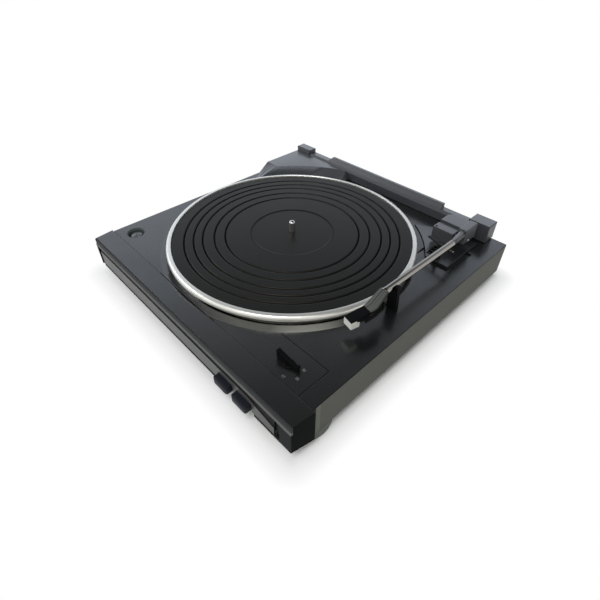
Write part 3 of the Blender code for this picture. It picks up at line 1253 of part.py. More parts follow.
def make_rear_rail():
    low = DECK + GAP
    top = DECK + RAIL_HEIGHT
    rear = HALF_DEPTH
    section = [(RAIL_FRONT, low), (rear, low), (rear, top), (RAIL_FRONT + RAIL_NOSE, top), (RAIL_FRONT, top - RAIL_NOSE)]
    rail = bar("rear_rail", section, RAIL_LEFT + GAP, RAIL_RIGHT - GAP)
    bar_front = RAIL_FRONT + RAIL_NOSE
    upper = top + RAIL_BAR_HEIGHT
    overlap = top - RAIL_WALL / 2
    lower_section = [(bar_front, overlap), (rear - OVERRUN, overlap), (rear - OVERRUN, upper), (bar_front + RAIL_BAR_SLOPE, upper),
                     (bar_front, top)]
    long_bar = bar("long_bar", lower_section, RAIL_BAR_LEFT, RAIL_BAR_RIGHT)
    ramp = plate("bar_ramp", [(RAIL_BAR_LEFT - OVERRUN, top), (RAIL_BAR_LEFT + RAIL_BAR_RAMP, upper + OVERRUN),
                              (RAIL_BAR_LEFT - OVERRUN, upper + OVERRUN)], RAIL_FRONT, rear + OVERRUN)
    for vertex in ramp.data.vertices:
        vertex.co = (vertex.co.x, vertex.co.z, vertex.co.y)
    for polygon in ramp.data.polygons:
        polygon.flip()
    cut(long_bar, ramp)
    hollow = box("rail_hollow", (RAIL_LEFT + RAIL_WALL, RAIL_FRONT + RAIL_WALL, low - OVERRUN),
                 (RAIL_RIGHT - RAIL_WALL, rear - RAIL_WALL, top - RAIL_WALL))
    join(rail, long_bar)
    cut(rail, hollow)
    hang("base", rail, "rail_plastic", CHARCOAL)


def make_hinge_socket(name, left, right, front, height):
    low = DECK + GAP
    top = DECK + height
    socket = box(name, (left, front, low), (right, SOCKET_REAR, top))
    rounded(socket, SOCKET_EDGE, 1)
    middle = (left + right) / 2
    centre = (low + top) / 2
    pocket = box(name + "_pocket", (middle - POCKET_WIDTH / 2, SOCKET_REAR - POCKET_DEPTH, centre - POCKET_HEIGHT / 2),
                 (middle + POCKET_WIDTH / 2, SOCKET_REAR + OVERRUN, centre + POCKET_HEIGHT / 2))
    cut(socket, pocket)
    hang("base", socket, name + "_plastic", CHARCOAL)


# Arm base

def make_arm_base_plate():
    base = plate("arm_base_plate", plate_outline(0), PLATE_BOTTOM, PLATE_TOP)
    cut(base, vent_box("plate_vent", PLATE_BOTTOM - OVERRUN, PLATE_TOP + OVERRUN))
    for index, share in enumerate(SLAT_PLACE_SHARES):
        y = VENT_FRONT + share * (VENT_REAR - VENT_FRONT)
        join(base, box(f"slat_{index}", (VENT_LEFT - OVERRUN, y - SLAT_THICKNESS / 2, PLATE_TOP - GAP - SLAT_DEPTH),
                       (VENT_RIGHT + OVERRUN, y + SLAT_THICKNESS / 2, PLATE_TOP - GAP)))
    for name, radius, place in (("plate_arm_hole", ARM_BUSH_RADIUS + GAP, (ARM_X, ARM_Y)),
                                ("plate_lift_hole", LIFT_ROD_RADIUS + LIFT_BUSH_WALL + GAP, (LIFT_X, LIFT_Y))):
        cut(base, cylinder(name, radius, PLATE_BOTTOM - OVERRUN, PLATE_TOP + OVERRUN, place))
    hang("base", base, "base_plate_plastic", CHARCOAL)


def flanged_bush(name, place, bore, wall, flange_radius, flange_low, flange_top, low):
    outer = bore + wall
    profile = [(bore, flange_top), (flange_radius, flange_top), (flange_radius, flange_low), (outer, flange_low), (outer, low),
               (bore, low)]
    return turned(name, profile, place, SMALL_SIDES, ring=True)


def make_arm_bearing():
    place = (ARM_X, ARM_Y)
    bore = PILLAR_RADIUS + RUNNING_GAP
    bush = flanged_bush("arm_bush", place, bore, ARM_BUSH_RADIUS - bore, ARM_BUSH_RADIUS + ARM_FLANGE_WIDTH, ARM_FLANGE_BOTTOM,
                        ARM_FLANGE_TOP, ARM_FLANGE_BOTTOM - ARM_BUSH_LENGTH)
    hang("base", bush, "arm_bush_brass", BRASS)
    top = TURRET_BOTTOM + TURRET_SOCKET_DEPTH - GAP
    pillar = cylinder("arm_pillar", PILLAR_RADIUS, top - PILLAR_LENGTH, top, place)
    hang("arm_swing", pillar, "arm_pillar_steel", STEEL)
    crank_low = top - PILLAR_LENGTH + GAP
    crank_top = crank_low + CRANK_THICKNESS
    crank = cylinder("arm_crank", CRANK_HUB_RADIUS, crank_low, crank_top, place)
    outline = lever_outline(place, CRANK_HEADING, CRANK_REACH, 0, CRANK_TIP_RADIUS)
    join(crank, plate("crank_arm", outline, crank_low, crank_top))
    cut(crank, cylinder("crank_bore", PILLAR_RADIUS + GAP, crank_low - OVERRUN, crank_top + OVERRUN, place))
    hang("arm_swing", crank, "arm_crank_steel", STEEL)


PIN_Y = ARM_Y + PIN_FORWARD
PIN_Z = TUBE_Z - PIN_BELOW_TUBE
HOLDER_LEFT = ARM_X + TURRET_RIGHT + HOLDER_SLOT
HOLDER_RIGHT = HOLDER_LEFT + HOLDER_WIDTH
HOLDER_BACK = ARM_Y + HOLDER_FRONT + HOLDER_LENGTH
HOLDER_FACE = ARM_Y + HOLDER_FRONT
HOLDER_LOW = TUBE_Z - HOLDER_BELOW_TUBE
HOLDER_TOP = TUBE_Z + HOLDER_ABOVE_TUBE


def make_arm_turret():
    left = ARM_X - TURRET_LEFT
    right = ARM_X + TURRET_RIGHT
    front = ARM_Y - TURRET_FRONT
    rear = ARM_Y + TURRET_REAR
    front_top = TURRET_BOTTOM + TURRET_FRONT_HEIGHT
    rear_top = TURRET_BOTTOM + TURRET_REAR_HEIGHT
    groove_front = ARM_Y + TURRET_GROOVE_FRONT
    groove_rear = groove_front + TURRET_GROOVE_WIDTH
    side = [(front, TURRET_BOTTOM), (rear, TURRET_BOTTOM), (rear, rear_top), (groove_rear, rear_top),
            (groove_rear, front_top - TURRET_GROOVE_DEPTH), (groove_front, front_top - TURRET_GROOVE_DEPTH),
            (groove_front, front_top), (front, front_top)]
    turret = bar("arm_turret", side, left, right)
    corner = [(left - OVERRUN, rear - TURRET_CORNER), (left + TURRET_CORNER + OVERRUN, rear + OVERRUN), (left - OVERRUN, rear + OVERRUN)]
    cut(turret, plate("turret_corner", corner, TURRET_BOTTOM - OVERRUN, rear_top + OVERRUN),
        cylinder("turret_socket", PILLAR_RADIUS + GAP, TURRET_BOTTOM - OVERRUN, TURRET_BOTTOM + TURRET_SOCKET_DEPTH, (ARM_X, ARM_Y)),
        cylinder("turret_hole", TURRET_HOLE_RADIUS, front_top - TURRET_GROOVE_DEPTH, front_top + OVERRUN,
                 (left + TURRET_HOLE_INSET, front + TURRET_HOLE_INSET), TINY_SIDES),
        rod("turret_pin_hole", PIN_RADIUS + GAP, (ARM_X + PIN_INNER_REACH - GAP, PIN_Y, PIN_Z), (right + OVERRUN, PIN_Y, PIN_Z),
            TINY_SIDES))
    hang("arm_swing", turret, "turret_plastic", CHARCOAL)
    pin = rod("pivot_pin", PIN_RADIUS, (ARM_X + PIN_INNER_REACH, PIN_Y, PIN_Z), (HOLDER_RIGHT - GAP, PIN_Y, PIN_Z), TINY_SIDES)
    hang("arm_swing", pin, "pivot_pin_steel", STEEL)


def on_tube_axis(distance):
    """A point along the tube's axis, from its rear end."""
    return (TUBE_REAR_X + distance * math.cos(ARM_HEADING), TUBE_REAR_Y + distance * math.sin(ARM_HEADING))


def make_arm_holder():
    holder = box("arm_holder", (HOLDER_LEFT, HOLDER_FACE, HOLDER_LOW), (HOLDER_RIGHT, HOLDER_BACK, HOLDER_TOP))
    rounded(holder, HOLDER_EDGE, 1)
    centre = (HOLDER_LEFT + HOLDER_RIGHT) / 2
    half = HOLDER_WIDTH / 2 - HOLDER_EDGE
    rings = []
    for share, length in ((0, GAP), (1, HOLDER_FACE - TUBE_REAR_Y + HOLDER_EDGE)):
        x, y = on_tube_axis(length)
        wide = TUBE_RADIUS + (half - TUBE_RADIUS) * share
        ring = []
        for step in range(TINY_SIDES):
            angle = 2 * math.pi * step / TINY_SIDES
            ring.append((x + (centre - x) * share + wide * math.cos(angle), y, TUBE_Z - TUBE_RADIUS * share
                         + TUBE_RADIUS * (1 + share * NECK_ROOT_SHARE) * math.sin(angle)))
        rings.append(ring)
    join(holder, loft("arm_neck", rings))
    low = HOLDER_LOW + WEIGHT_POCKET_WALL
    pocket_front = HOLDER_BACK - WEIGHT_LENGTH - GAP
    cut(holder, rod("holder_pin_hole", PIN_RADIUS + RUNNING_GAP, (HOLDER_LEFT - OVERRUN, PIN_Y, PIN_Z),
                    (HOLDER_RIGHT + OVERRUN, PIN_Y, PIN_Z), TINY_SIDES),
        box("weight_pocket", (HOLDER_LEFT + WEIGHT_POCKET_WALL, pocket_front, low),
            (HOLDER_RIGHT - WEIGHT_POCKET_WALL, HOLDER_BACK + OVERRUN, low + WEIGHT_HEIGHT + 2 * GAP)))
    hang("arm", holder, "holder_plastic", CHARCOAL)
    weight = box("counterweight", (HOLDER_LEFT + WEIGHT_POCKET_WALL + GAP, pocket_front + GAP, low + GAP),
                 (HOLDER_RIGHT - WEIGHT_POCKET_WALL - GAP, HOLDER_BACK, low + GAP + WEIGHT_HEIGHT))
    hang("arm", weight, "weight_steel", STEEL)


def make_arm_tube():
    length = math.hypot(TUBE_REAR_X - TUBE_FRONT_X, TUBE_REAR_Y - TUBE_FRONT_Y)
    start = (TUBE_FRONT_X, TUBE_FRONT_Y, TUBE_Z)
    tube = rod("arm_tube", TUBE_RADIUS, start, (TUBE_REAR_X, TUBE_REAR_Y, TUBE_Z))
    ahead = on_tube_axis(-length - OVERRUN)
    behind = on_tube_axis(OVERRUN)
    cut(tube, rod("tube_bore", TUBE_RADIUS - TUBE_WALL, (*ahead, TUBE_Z), (*behind, TUBE_Z)))
    hang("arm", tube, "tube_aluminium", ALUMINIUM)


def shell_point(along, across, height):
    """A place on the headshell: along it from the tube, square to it, and up from the deck."""
    straight = min(along, SHELL_WIDE_LENGTH)
    turned_length = along - straight
    x = TUBE_FRONT_X + SHELL_WIDE_SHIFT * straight / SHELL_WIDE_LENGTH - turned_length * math.sin(OFFSET)
    y = TUBE_FRONT_Y - GAP - straight - turned_length * math.cos(OFFSET)
    turn = OFFSET if along > SHELL_WIDE_LENGTH else 0
    return (x + across * math.cos(turn), y - across * math.sin(turn), height)


SHELL_FRONT = SHELL_LENGTH + SHELL_PLATE_LENGTH


def plate_under(along):
    """How high the headshell's underside lies, along its pitched front plate."""
    return TUBE_Z - SHELL_DROP - SHELL_PITCH_DROP * (along - SHELL_WIDE_LENGTH) / (SHELL_FRONT - SHELL_WIDE_LENGTH)


def make_headshell():
    stations = [(0, SHELL_ROOT_HALF, TUBE_Z - SHELL_ROOT_HALF, TUBE_Z + SHELL_ROOT_HALF - SHELL_RIDGE),
                (SHELL_NECK_LENGTH, SHELL_NECK_HALF, TUBE_Z - SHELL_NECK_HALF, TUBE_Z),
                (SHELL_WIDE_LENGTH, SHELL_WIDE_HALF, TUBE_Z - SHELL_DROP, TUBE_Z - SHELL_DROP / 2),
                (SHELL_LENGTH, SHELL_HALF, plate_under(SHELL_LENGTH), plate_under(SHELL_LENGTH) + SHELL_PLATE_THICKNESS),
                (SHELL_FRONT, SHELL_PLATE_HALF, plate_under(SHELL_FRONT), plate_under(SHELL_FRONT) + SHELL_PLATE_THICKNESS)]
    rings = []
    for along, half, low, high in stations:
        ridge = high + SHELL_RIDGE * (1 - along / SHELL_FRONT) + SHELL_RIDGE / 4
        rings.append([shell_point(along, -half, low), shell_point(along, half, low), shell_point(along, half, high),
                      shell_point(along, 0, ridge), shell_point(along, -half, high)])
    hang("arm", loft("headshell", rings), "headshell_plastic", CHARCOAL)


def shell_block(name, start, length, half, top, low):
    """A block square to the headshell's front plate, under a slanted top."""
    rings = []
    for along in (start, start + length):
        high = top(along)
        rings.append([shell_point(along, -half, low), shell_point(along, half, low), shell_point(along, half, high),
                      shell_point(along, -half, high)])
    return loft(name, rings)


CARTRIDGE_FROM = SHELL_LENGTH + CARTRIDGE_START
CARTRIDGE_TO = CARTRIDGE_FROM + CARTRIDGE_LENGTH
CARTRIDGE_LOW = TUBE_Z - SHELL_DROP - SHELL_PITCH_DROP - CARTRIDGE_HEIGHT
STYLUS_TOP = CARTRIDGE_LOW - GAP
STYLUS_LOW = STYLUS_TOP - STYLUS_HEIGHT
GUARD_TOP = plate_under(SHELL_FRONT) - GAP
GUARD_BACK = CARTRIDGE_TO + GAP + GUARD_WALL - GUARD_LENGTH
GUARD_BOTTOM = STYLUS_LOW - CANTILEVER_DROP - GUARD_FLOOR - GAP


def level(height):
    return lambda along: height


def under_plate(along):
    return plate_under(along) - GAP


def make_cartridge():
    cartridge = shell_block("cartridge", CARTRIDGE_FROM, CARTRIDGE_LENGTH, CARTRIDGE_HALF, under_plate, CARTRIDGE_LOW)
    hang("arm", cartridge, "cartridge_black", BLACK)
    start = CARTRIDGE_FROM + STYLUS_START
    stylus = shell_block("stylus", start, STYLUS_LENGTH, STYLUS_HALF, level(STYLUS_TOP), STYLUS_LOW)
    root = start + STYLUS_LENGTH - CANTILEVER_LENGTH
    needle = rod("cantilever", CANTILEVER_RADIUS, shell_point(root, 0, STYLUS_LOW + CANTILEVER_RADIUS),
                 shell_point(root + CANTILEVER_LENGTH, 0, STYLUS_LOW - CANTILEVER_DROP + CANTILEVER_RADIUS), TINY_SIDES)
    join(stylus, needle)
    hang("arm", stylus, "stylus_red", ((0.35, 0.03, 0.02), 0.4))


def make_stylus_guard():
    """A white hood open at the back and the top, that pulls off forwards."""
    inner = CARTRIDGE_HALF + GAP
    guard = shell_block("stylus_guard", GUARD_BACK, GUARD_LENGTH, inner + GUARD_WALL, level(GUARD_TOP), GUARD_BOTTOM)
    hollow = shell_block("guard_hollow", GUARD_BACK - OVERRUN, GUARD_LENGTH + OVERRUN - GUARD_WALL, inner,
                         level(GUARD_TOP + OVERRUN), GUARD_BOTTOM + GUARD_FLOOR)
    cut(guard, hollow)
    hang("guard", guard, "guard_white", WHITE)


def make_finger_lift():
    across = SHELL_WIDE_HALF + FINGER_OUT
    side = SHELL_WIDE_HALF + GAP + FINGER_RADIUS
    seat = shell_point((SHELL_NECK_LENGTH + SHELL_WIDE_LENGTH) / 2, side, TUBE_Z - SHELL_DROP / 2)
    knee = shell_point(SHELL_LENGTH, across, TUBE_Z - SHELL_DROP)
    tip = shell_point(SHELL_LENGTH + FINGER_LENGTH, across - FINGER_RADIUS, TUBE_Z - SHELL_DROP - FINGER_DROP)
    lift = rod("finger_lift", FINGER_RADIUS, knee, tip, TINY_SIDES)
    join(lift, rod("finger_root", FINGER_RADIUS, seat, shell_point(SHELL_LENGTH + FINGER_RADIUS, across, TUBE_Z - SHELL_DROP), TINY_SIDES))
    hang("arm", lift, "finger_black", BLACK)


# Arm rest and cueing bar

def make_arm_rest():
    y = REST_FRONT + REST_DEPTH / 2
    x, _ = on_tube_axis(y - TUBE_REAR_Y)
    post_left = x + TUBE_RADIUS + GAP
    post_right = post_left + REST_POST_WIDTH
    low = DECK + GAP
    ledge_top = TUBE_Z - TUBE_RADIUS - GAP
    outline = [(x - TUBE_RADIUS, ledge_top - REST_LEDGE_THICKNESS), (post_left, ledge_top - REST_LEDGE_THICKNESS), (post_left, low),
               (post_right, low), (post_right, TUBE_Z + REST_TOP_RISE), (post_left, TUBE_Z + REST_TOP_RISE),
               (post_left, ledge_top), (x - TUBE_RADIUS, ledge_top)]
    rest = plate("arm_rest", outline, -REST_DEPTH / 2, REST_DEPTH / 2)
    for vertex in rest.data.vertices:
        vertex.co = (vertex.co.x, y - vertex.co.z, vertex.co.y)
    foot = ((post_left + post_right) / 2, y)
    join(rest, cylinder("rest_foot", REST_FOOT_RADIUS, low, low + REST_FOOT_HEIGHT, foot))
    hang("base", rest, "rest_black", BLACK)


def make_lift():
    place = (LIFT_X, LIFT_Y)
    bore = LIFT_ROD_RADIUS + RUNNING_GAP
    outer = LIFT_ROD_RADIUS + LIFT_BUSH_WALL
    collar_low = PLATE_TOP + GAP
    bush = flanged_bush("lift_bush", place, bore, outer - bore, outer + LIFT_COLLAR_WIDTH, collar_low, LIFT_BUSH_TOP,
                        collar_low - LIFT_BUSH_LENGTH)
    hang("base", bush, "lift_bush_black", BLACK)
    low = LIFT_BAR_TOP - LIFT_BAR_HEIGHT
    shape = box("lift_bar", (LIFT_X - LIFT_BAR_LEFT, LIFT_Y - LIFT_BAR_HALF, low),
                (LIFT_X + LIFT_BAR_RIGHT, LIFT_Y + LIFT_BAR_HALF, LIFT_BAR_TOP))
    turn_about(shape, place, LIFT_BAR_HEADING)
    rounded(shape, LIFT_BAR_HALF / 3, 1)
    join(shape, cylinder("lift_rod", LIFT_ROD_RADIUS, LIFT_BAR_TOP - LIFT_ROD_LENGTH, LIFT_BAR_TOP - LIFT_BAR_HEIGHT / 2, place))
    hang("lift", shape, "lift_bar_black", BLACK)


# Boards, transformer and rear sockets

def make_circuit_board():
    low = PAN_TOP + STANDOFF_HEIGHT + GAP
    top = low + BOARD_THICKNESS
    board = box("circuit_board", (CIRCUIT_LEFT, CIRCUIT_FRONT, low), (CIRCUIT_LEFT + CIRCUIT_WIDTH, CIRCUIT_FRONT + CIRCUIT_DEPTH, top))
    for index, (across, deep) in enumerate(((0.25, 0.30), (0.25, 0.70), (0.60, 0.50))):
        spot = (CIRCUIT_LEFT + CIRCUIT_WIDTH * across, CIRCUIT_FRONT + CIRCUIT_DEPTH * deep)
        join(board, cylinder(f"capacitor_{index}", CAN_RADIUS, top - MERGE * 10, top + CAN_HEIGHT, spot, TINY_SIDES))
    hang("base", board, "circuit_board_green", GREEN_BOARD)


def make_transformer():
    low = PAN_TOP + GAP
    top = low + TRANSFORMER_HEIGHT
    core = box("transformer", (TRANSFORMER_X - TRANSFORMER_WIDTH / 2, TRANSFORMER_Y - TRANSFORMER_DEPTH / 2 + WINDING_BULGE, low),
               (TRANSFORMER_X + TRANSFORMER_WIDTH / 2, TRANSFORMER_Y + TRANSFORMER_DEPTH / 2 - WINDING_BULGE, top))
    winding = box("winding", (TRANSFORMER_X - WINDING_WIDTH / 2, TRANSFORMER_Y - TRANSFORMER_DEPTH / 2, low + WINDING_BULGE),
                  (TRANSFORMER_X + WINDING_WIDTH / 2, TRANSFORMER_Y + TRANSFORMER_DEPTH / 2, top - WINDING_BULGE))
    join(core, winding)
    hang("base", core, "transformer_steel", STEEL)


def jack_window_corner(side, y):
    half_width = JACK_PITCH / 2 + JACK_RADIUS + JACK_WINDOW_MARGIN
    half_height = JACK_RADIUS + JACK_WINDOW_MARGIN
    return (JACK_X + side * half_width, y, JACK_Z + side * half_height)


def make_output_sockets():
    back = HALF_DEPTH - WALL - GAP
    sockets = box("output_sockets", (JACK_X - JACK_PLATE_WIDTH / 2, back - JACK_PLATE_THICKNESS, JACK_Z - JACK_PLATE_HEIGHT / 2),
                  (JACK_X + JACK_PLATE_WIDTH / 2, back, JACK_Z + JACK_PLATE_HEIGHT / 2))
    rear = HALF_DEPTH + JACK_REACH
    for index, x in enumerate((JACK_X - JACK_PITCH / 2, JACK_X + JACK_PITCH / 2)):
        join(sockets, rod(f"jack_{index}", JACK_RADIUS, (x, back - MERGE * 10, JACK_Z), (x, rear, JACK_Z)))
        cut(sockets, rod(f"jack_bore_{index}", JACK_BORE, (x, back, JACK_Z), (x, rear + OVERRUN, JACK_Z), TINY_SIDES))
    hang("base", sockets, "jack_brass", BRASS)


def inlet_corner(side, y, margin):
    return (INLET_X + side * (INLET_WIDTH / 2 + margin), y, JACK_Z + side * (INLET_HEIGHT / 2 + margin))


def make_power_inlet():
    rear = HALF_DEPTH - INLET_INSET
    floor = rear - INLET_RECESS_DEPTH
    inlet = box("power_inlet", inlet_corner(-1, rear - INLET_DEPTH, 0), inlet_corner(1, rear, 0))
    cut(inlet, box("inlet_recess", (INLET_X - INLET_RECESS_WIDTH / 2, floor, JACK_Z - INLET_RECESS_HEIGHT / 2),
                   (INLET_X + INLET_RECESS_WIDTH / 2, rear + OVERRUN, JACK_Z + INLET_RECESS_HEIGHT / 2)))
    for index, x in enumerate((INLET_X - INLET_PIN_PITCH / 2, INLET_X + INLET_PIN_PITCH / 2)):
        join(inlet, rod(f"inlet_pin_{index}", INLET_PIN_RADIUS, (x, floor - OVERRUN, JACK_Z), (x, floor + INLET_PIN_LENGTH, JACK_Z),
                        TINY_SIDES))
    hang("base", inlet, "inlet_black", BLACK)


def main():
    new_body("base", (0, ROOT_SHIFT, 0))
    new_body("platter_unit", (PLATTER_X, PLATTER_Y, MAT_TOP))
    new_body("pulley", (MOTOR_X, MOTOR_Y, BELT_MIDDLE))
    new_body("cam", (CAM_X, CAM_Y, CAM_BOTTOM))
    new_body("return", (LEVER_X, LEVER_Y, LEVER_BOTTOM))
    new_body("arm_swing", (ARM_X, ARM_Y, TURRET_BOTTOM))
    new_body("arm", (HOLDER_LEFT, PIN_Y, PIN_Z))
    new_body("guard", shell_point(SHELL_FRONT, 0, GUARD_BOTTOM))
    new_body("lift", (LIFT_X, LIFT_Y, LIFT_BAR_TOP))
    new_body("size_lever", (SIZE_X, SIZE_Y, DECK))

    make_chassis()
    make_front_cap()
    make_front_panel()
    make_base_pan()
    make_base_screws()
    for x in (-FOOT_X, FOOT_X):
        for y in (-FOOT_Y, FOOT_Y):
            make_foot("foot_" + corner_name(x, y), x, y)
    for name, x in zip(("start_button", "stop_button"), BUTTON_X):
        make_button(name, x)
    make_switch_board()
    make_control_panel()
    make_size_lever()
    make_locking_screw()

    make_platter()
    make_platter_mat()
    make_spindle()
    make_bearing_bush()
    make_hub_pinion()
    make_cam_gear()
    make_cam_stud()
    make_return_lever()
    make_lever_stud()
    make_motor()
    make_pulley()
    make_belt()

    make_corner_cover()
    make_rear_rail()
    make_hinge_socket("hinge_socket_left", -HALF_WIDTH, RAIL_LEFT, RAIL_FRONT, LEFT_SOCKET_HEIGHT)
    make_hinge_socket("hinge_socket_right", RAIL_RIGHT, RIGHT_SOCKET_RIGHT, RIGHT_SOCKET_FRONT, RIGHT_SOCKET_HEIGHT)

    make_arm_base_plate()
    make_arm_bearing()
    make_arm_turret()
    make_arm_holder()
    make_arm_tube()
    make_headshell()
    make_cartridge()
    make_stylus_guard()
    make_finger_lift()
    make_arm_rest()
    make_lift()

    make_circuit_board()
    make_transformer()
    make_output_sockets()
    make_power_inlet()


main()
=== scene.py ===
# %% [markdown]
# # An automatic turntable, dressed for its photograph
#
# The imported model gives every solid its place and size. This lesson dresses it: each visible piece
# gets soft edges, fine detail and a finish worked out from noise and simple maths. The first cell
# loads the frame.

# %% Load the frame
import math

import bmesh
import bpy
from mathutils import Matrix, Vector


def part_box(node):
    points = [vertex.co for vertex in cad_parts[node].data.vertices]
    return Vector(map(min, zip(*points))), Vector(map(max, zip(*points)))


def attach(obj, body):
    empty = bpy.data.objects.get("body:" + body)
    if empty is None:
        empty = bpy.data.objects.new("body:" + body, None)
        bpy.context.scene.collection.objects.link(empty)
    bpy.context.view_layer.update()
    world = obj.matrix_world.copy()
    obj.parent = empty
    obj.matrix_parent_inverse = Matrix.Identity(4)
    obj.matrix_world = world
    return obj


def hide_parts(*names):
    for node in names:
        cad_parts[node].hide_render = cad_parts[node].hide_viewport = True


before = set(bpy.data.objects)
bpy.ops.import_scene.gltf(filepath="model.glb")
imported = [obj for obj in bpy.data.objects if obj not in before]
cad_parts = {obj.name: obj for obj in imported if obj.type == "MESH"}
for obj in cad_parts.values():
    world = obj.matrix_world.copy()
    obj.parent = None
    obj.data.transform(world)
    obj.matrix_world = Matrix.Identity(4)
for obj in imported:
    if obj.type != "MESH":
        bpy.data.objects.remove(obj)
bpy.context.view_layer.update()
MM = 0.001

# %% [markdown]
# ## Camera
#
# The camera stands where the photographer stood. Its place, aim and lens come from matching the
# corners of the body and the rim of the platter. A small shift frames the picture as the photograph
# is framed, which keeps the perspective of the body unchanged.

# %% Place the camera
CAMERA_PLACE = (304.8 * MM, -287.05 * MM, 344.8 * MM)
CAMERA_ELEVATION = 40.314
CAMERA_AZIMUTH = 46.209
CAMERA_ROLL = 0.138
LENS = 25.597
FRAMING = (-0.00083, -0.03167)

camera_data = bpy.data.cameras.new("photo_camera")
camera = bpy.data.objects.new("photo_camera", camera_data)
bpy.context.scene.collection.objects.link(camera)
camera_data.sensor_width = 36
camera_data.lens = LENS
camera_data.shift_x, camera_data.shift_y = FRAMING
camera_data.clip_start = 0.01
camera_data.clip_end = 40
aim = Matrix.Rotation(math.radians(CAMERA_AZIMUTH), 3, "Z")
aim = aim @ Matrix.Rotation(math.radians(90 - CAMERA_ELEVATION), 3, "X")
aim = aim @ Matrix.Rotation(math.radians(CAMERA_ROLL), 3, "Z")
camera.location = CAMERA_PLACE
camera.rotation_euler = aim.to_euler()
bpy.context.scene.camera = camera
print("camera turned", [round(math.degrees(angle), 2) for angle in camera.rotation_euler])

# %% [markdown]
# ## Node trees as sums
#
# A finish is a sum of small patterns, and so is a shape that follows a rule. Nodes are easier to
# read as sums than as a picture of boxes, so one class stands for a value on its way through a
# tree, and its operators add Math nodes. A second class adds every other kind of node in one way:
# its type, its settings, and what its sockets hold.

# %% Wires and trees
class Wire:
    """A number that changes over a surface. Sums on it add Math nodes to its tree."""

    def __init__(self, tree, socket):
        self.tree = tree
        self.socket = socket

    def sum_with(self, operation, first, second, clamped=False):
        settings = {"operation": operation, "use_clamp": clamped}
        node = self.tree.add("ShaderNodeMath", settings, {0: first, 1: second})
        return Wire(self.tree, node.outputs[0])

    def __add__(self, other):
        return self.sum_with("ADD", self, other)

    def __sub__(self, other):
        return self.sum_with("SUBTRACT", self, other)

    def __rsub__(self, other):
        return self.sum_with("SUBTRACT", other, self)

    def __mul__(self, other):
        return self.sum_with("MULTIPLY", self, other)

    def __truediv__(self, other):
        return self.sum_with("DIVIDE", self, other)

    def __gt__(self, other):
        return self.sum_with("GREATER_THAN", self, other)

    def __lt__(self, other):
        return self.sum_with("LESS_THAN", self, other)

    def __abs__(self):
        return self.sum_with("ABSOLUTE", self, 0.0)

    def share_of(self, whole):
        """This value over another, held between 0 and 1."""
        return self.sum_with("DIVIDE", self, whole, True)

    def past(self, start, rate):
        """0 up to a start, then up to 1 at a rate."""
        return ((self - start) * rate).share_of(1.0)

    __radd__ = __add__
    __rmul__ = __mul__


class Tree:
    """A node tree to which nodes are added by type, settings and sockets."""

    def __init__(self, tree):
        self.tree = tree

    def add(self, kind, settings=None, sockets=None):
        node = self.tree.nodes.new(kind)
        for key, value in (settings or {}).items():
            if key == "stops":
                ramp = node.color_ramp
                while len(ramp.elements) < len(value):
                    ramp.elements.new(0.5)
                for stop, (where, shade) in zip(ramp.elements, value):
                    stop.position = where
                    stop.color = (shade, shade, shade, 1.0)
            else:
                setattr(node, key, value)
        for key, value in (sockets or {}).items():
            self.feed(node.inputs[key], value)
        return node

    def feed(self, socket, value):
        if isinstance(value, list):
            for part in value:
                self.feed(socket, part)
        elif isinstance(value, Wire):
            self.tree.links.new(value.socket, socket)
        elif isinstance(value, bpy.types.NodeSocket):
            self.tree.links.new(value, socket)
        else:
            socket.default_value = value

    def parts_of(self, vector):
        """The three coordinates of a vector."""
        node = self.add("ShaderNodeSeparateXYZ", {}, {0: vector})
        return [Wire(self, output) for output in node.outputs]

    def on_vectors(self, operation, first, second=(0.0, 0.0, 0.0)):
        """One sum on vectors."""
        node = self.add("ShaderNodeVectorMath", {"operation": operation}, {0: first, 1: second})
        return node.outputs[0]

    def length_of(self, vector):
        node = self.add("ShaderNodeVectorMath", {"operation": "LENGTH"}, {0: vector})
        return Wire(self, node.outputs["Value"])

    def ramp(self, value, stops):
        """Maps a value through grey stops."""
        node = self.add("ShaderNodeValToRGB", {"stops": stops}, {0: value})
        return Wire(self, node.outputs[0])

    def mix(self, share, first, second):
        """Blends two colours by a share from 0 to 1."""
        def opaque(colour):
            return (*colour, 1.0) if isinstance(colour, tuple) and len(colour) == 3 else colour
        node = self.add("ShaderNodeMix", {"data_type": "RGBA"},
                        {0: share, 6: opaque(first), 7: opaque(second)})
        return node.outputs[2]


print("trees ready")

# %% [markdown]
# ## One class for finishes
#
# A finish holds one material, its shader and the patterns that several finishes share. The colours
# are given as screen values from 0 to 255, and one function turns them into linear light.

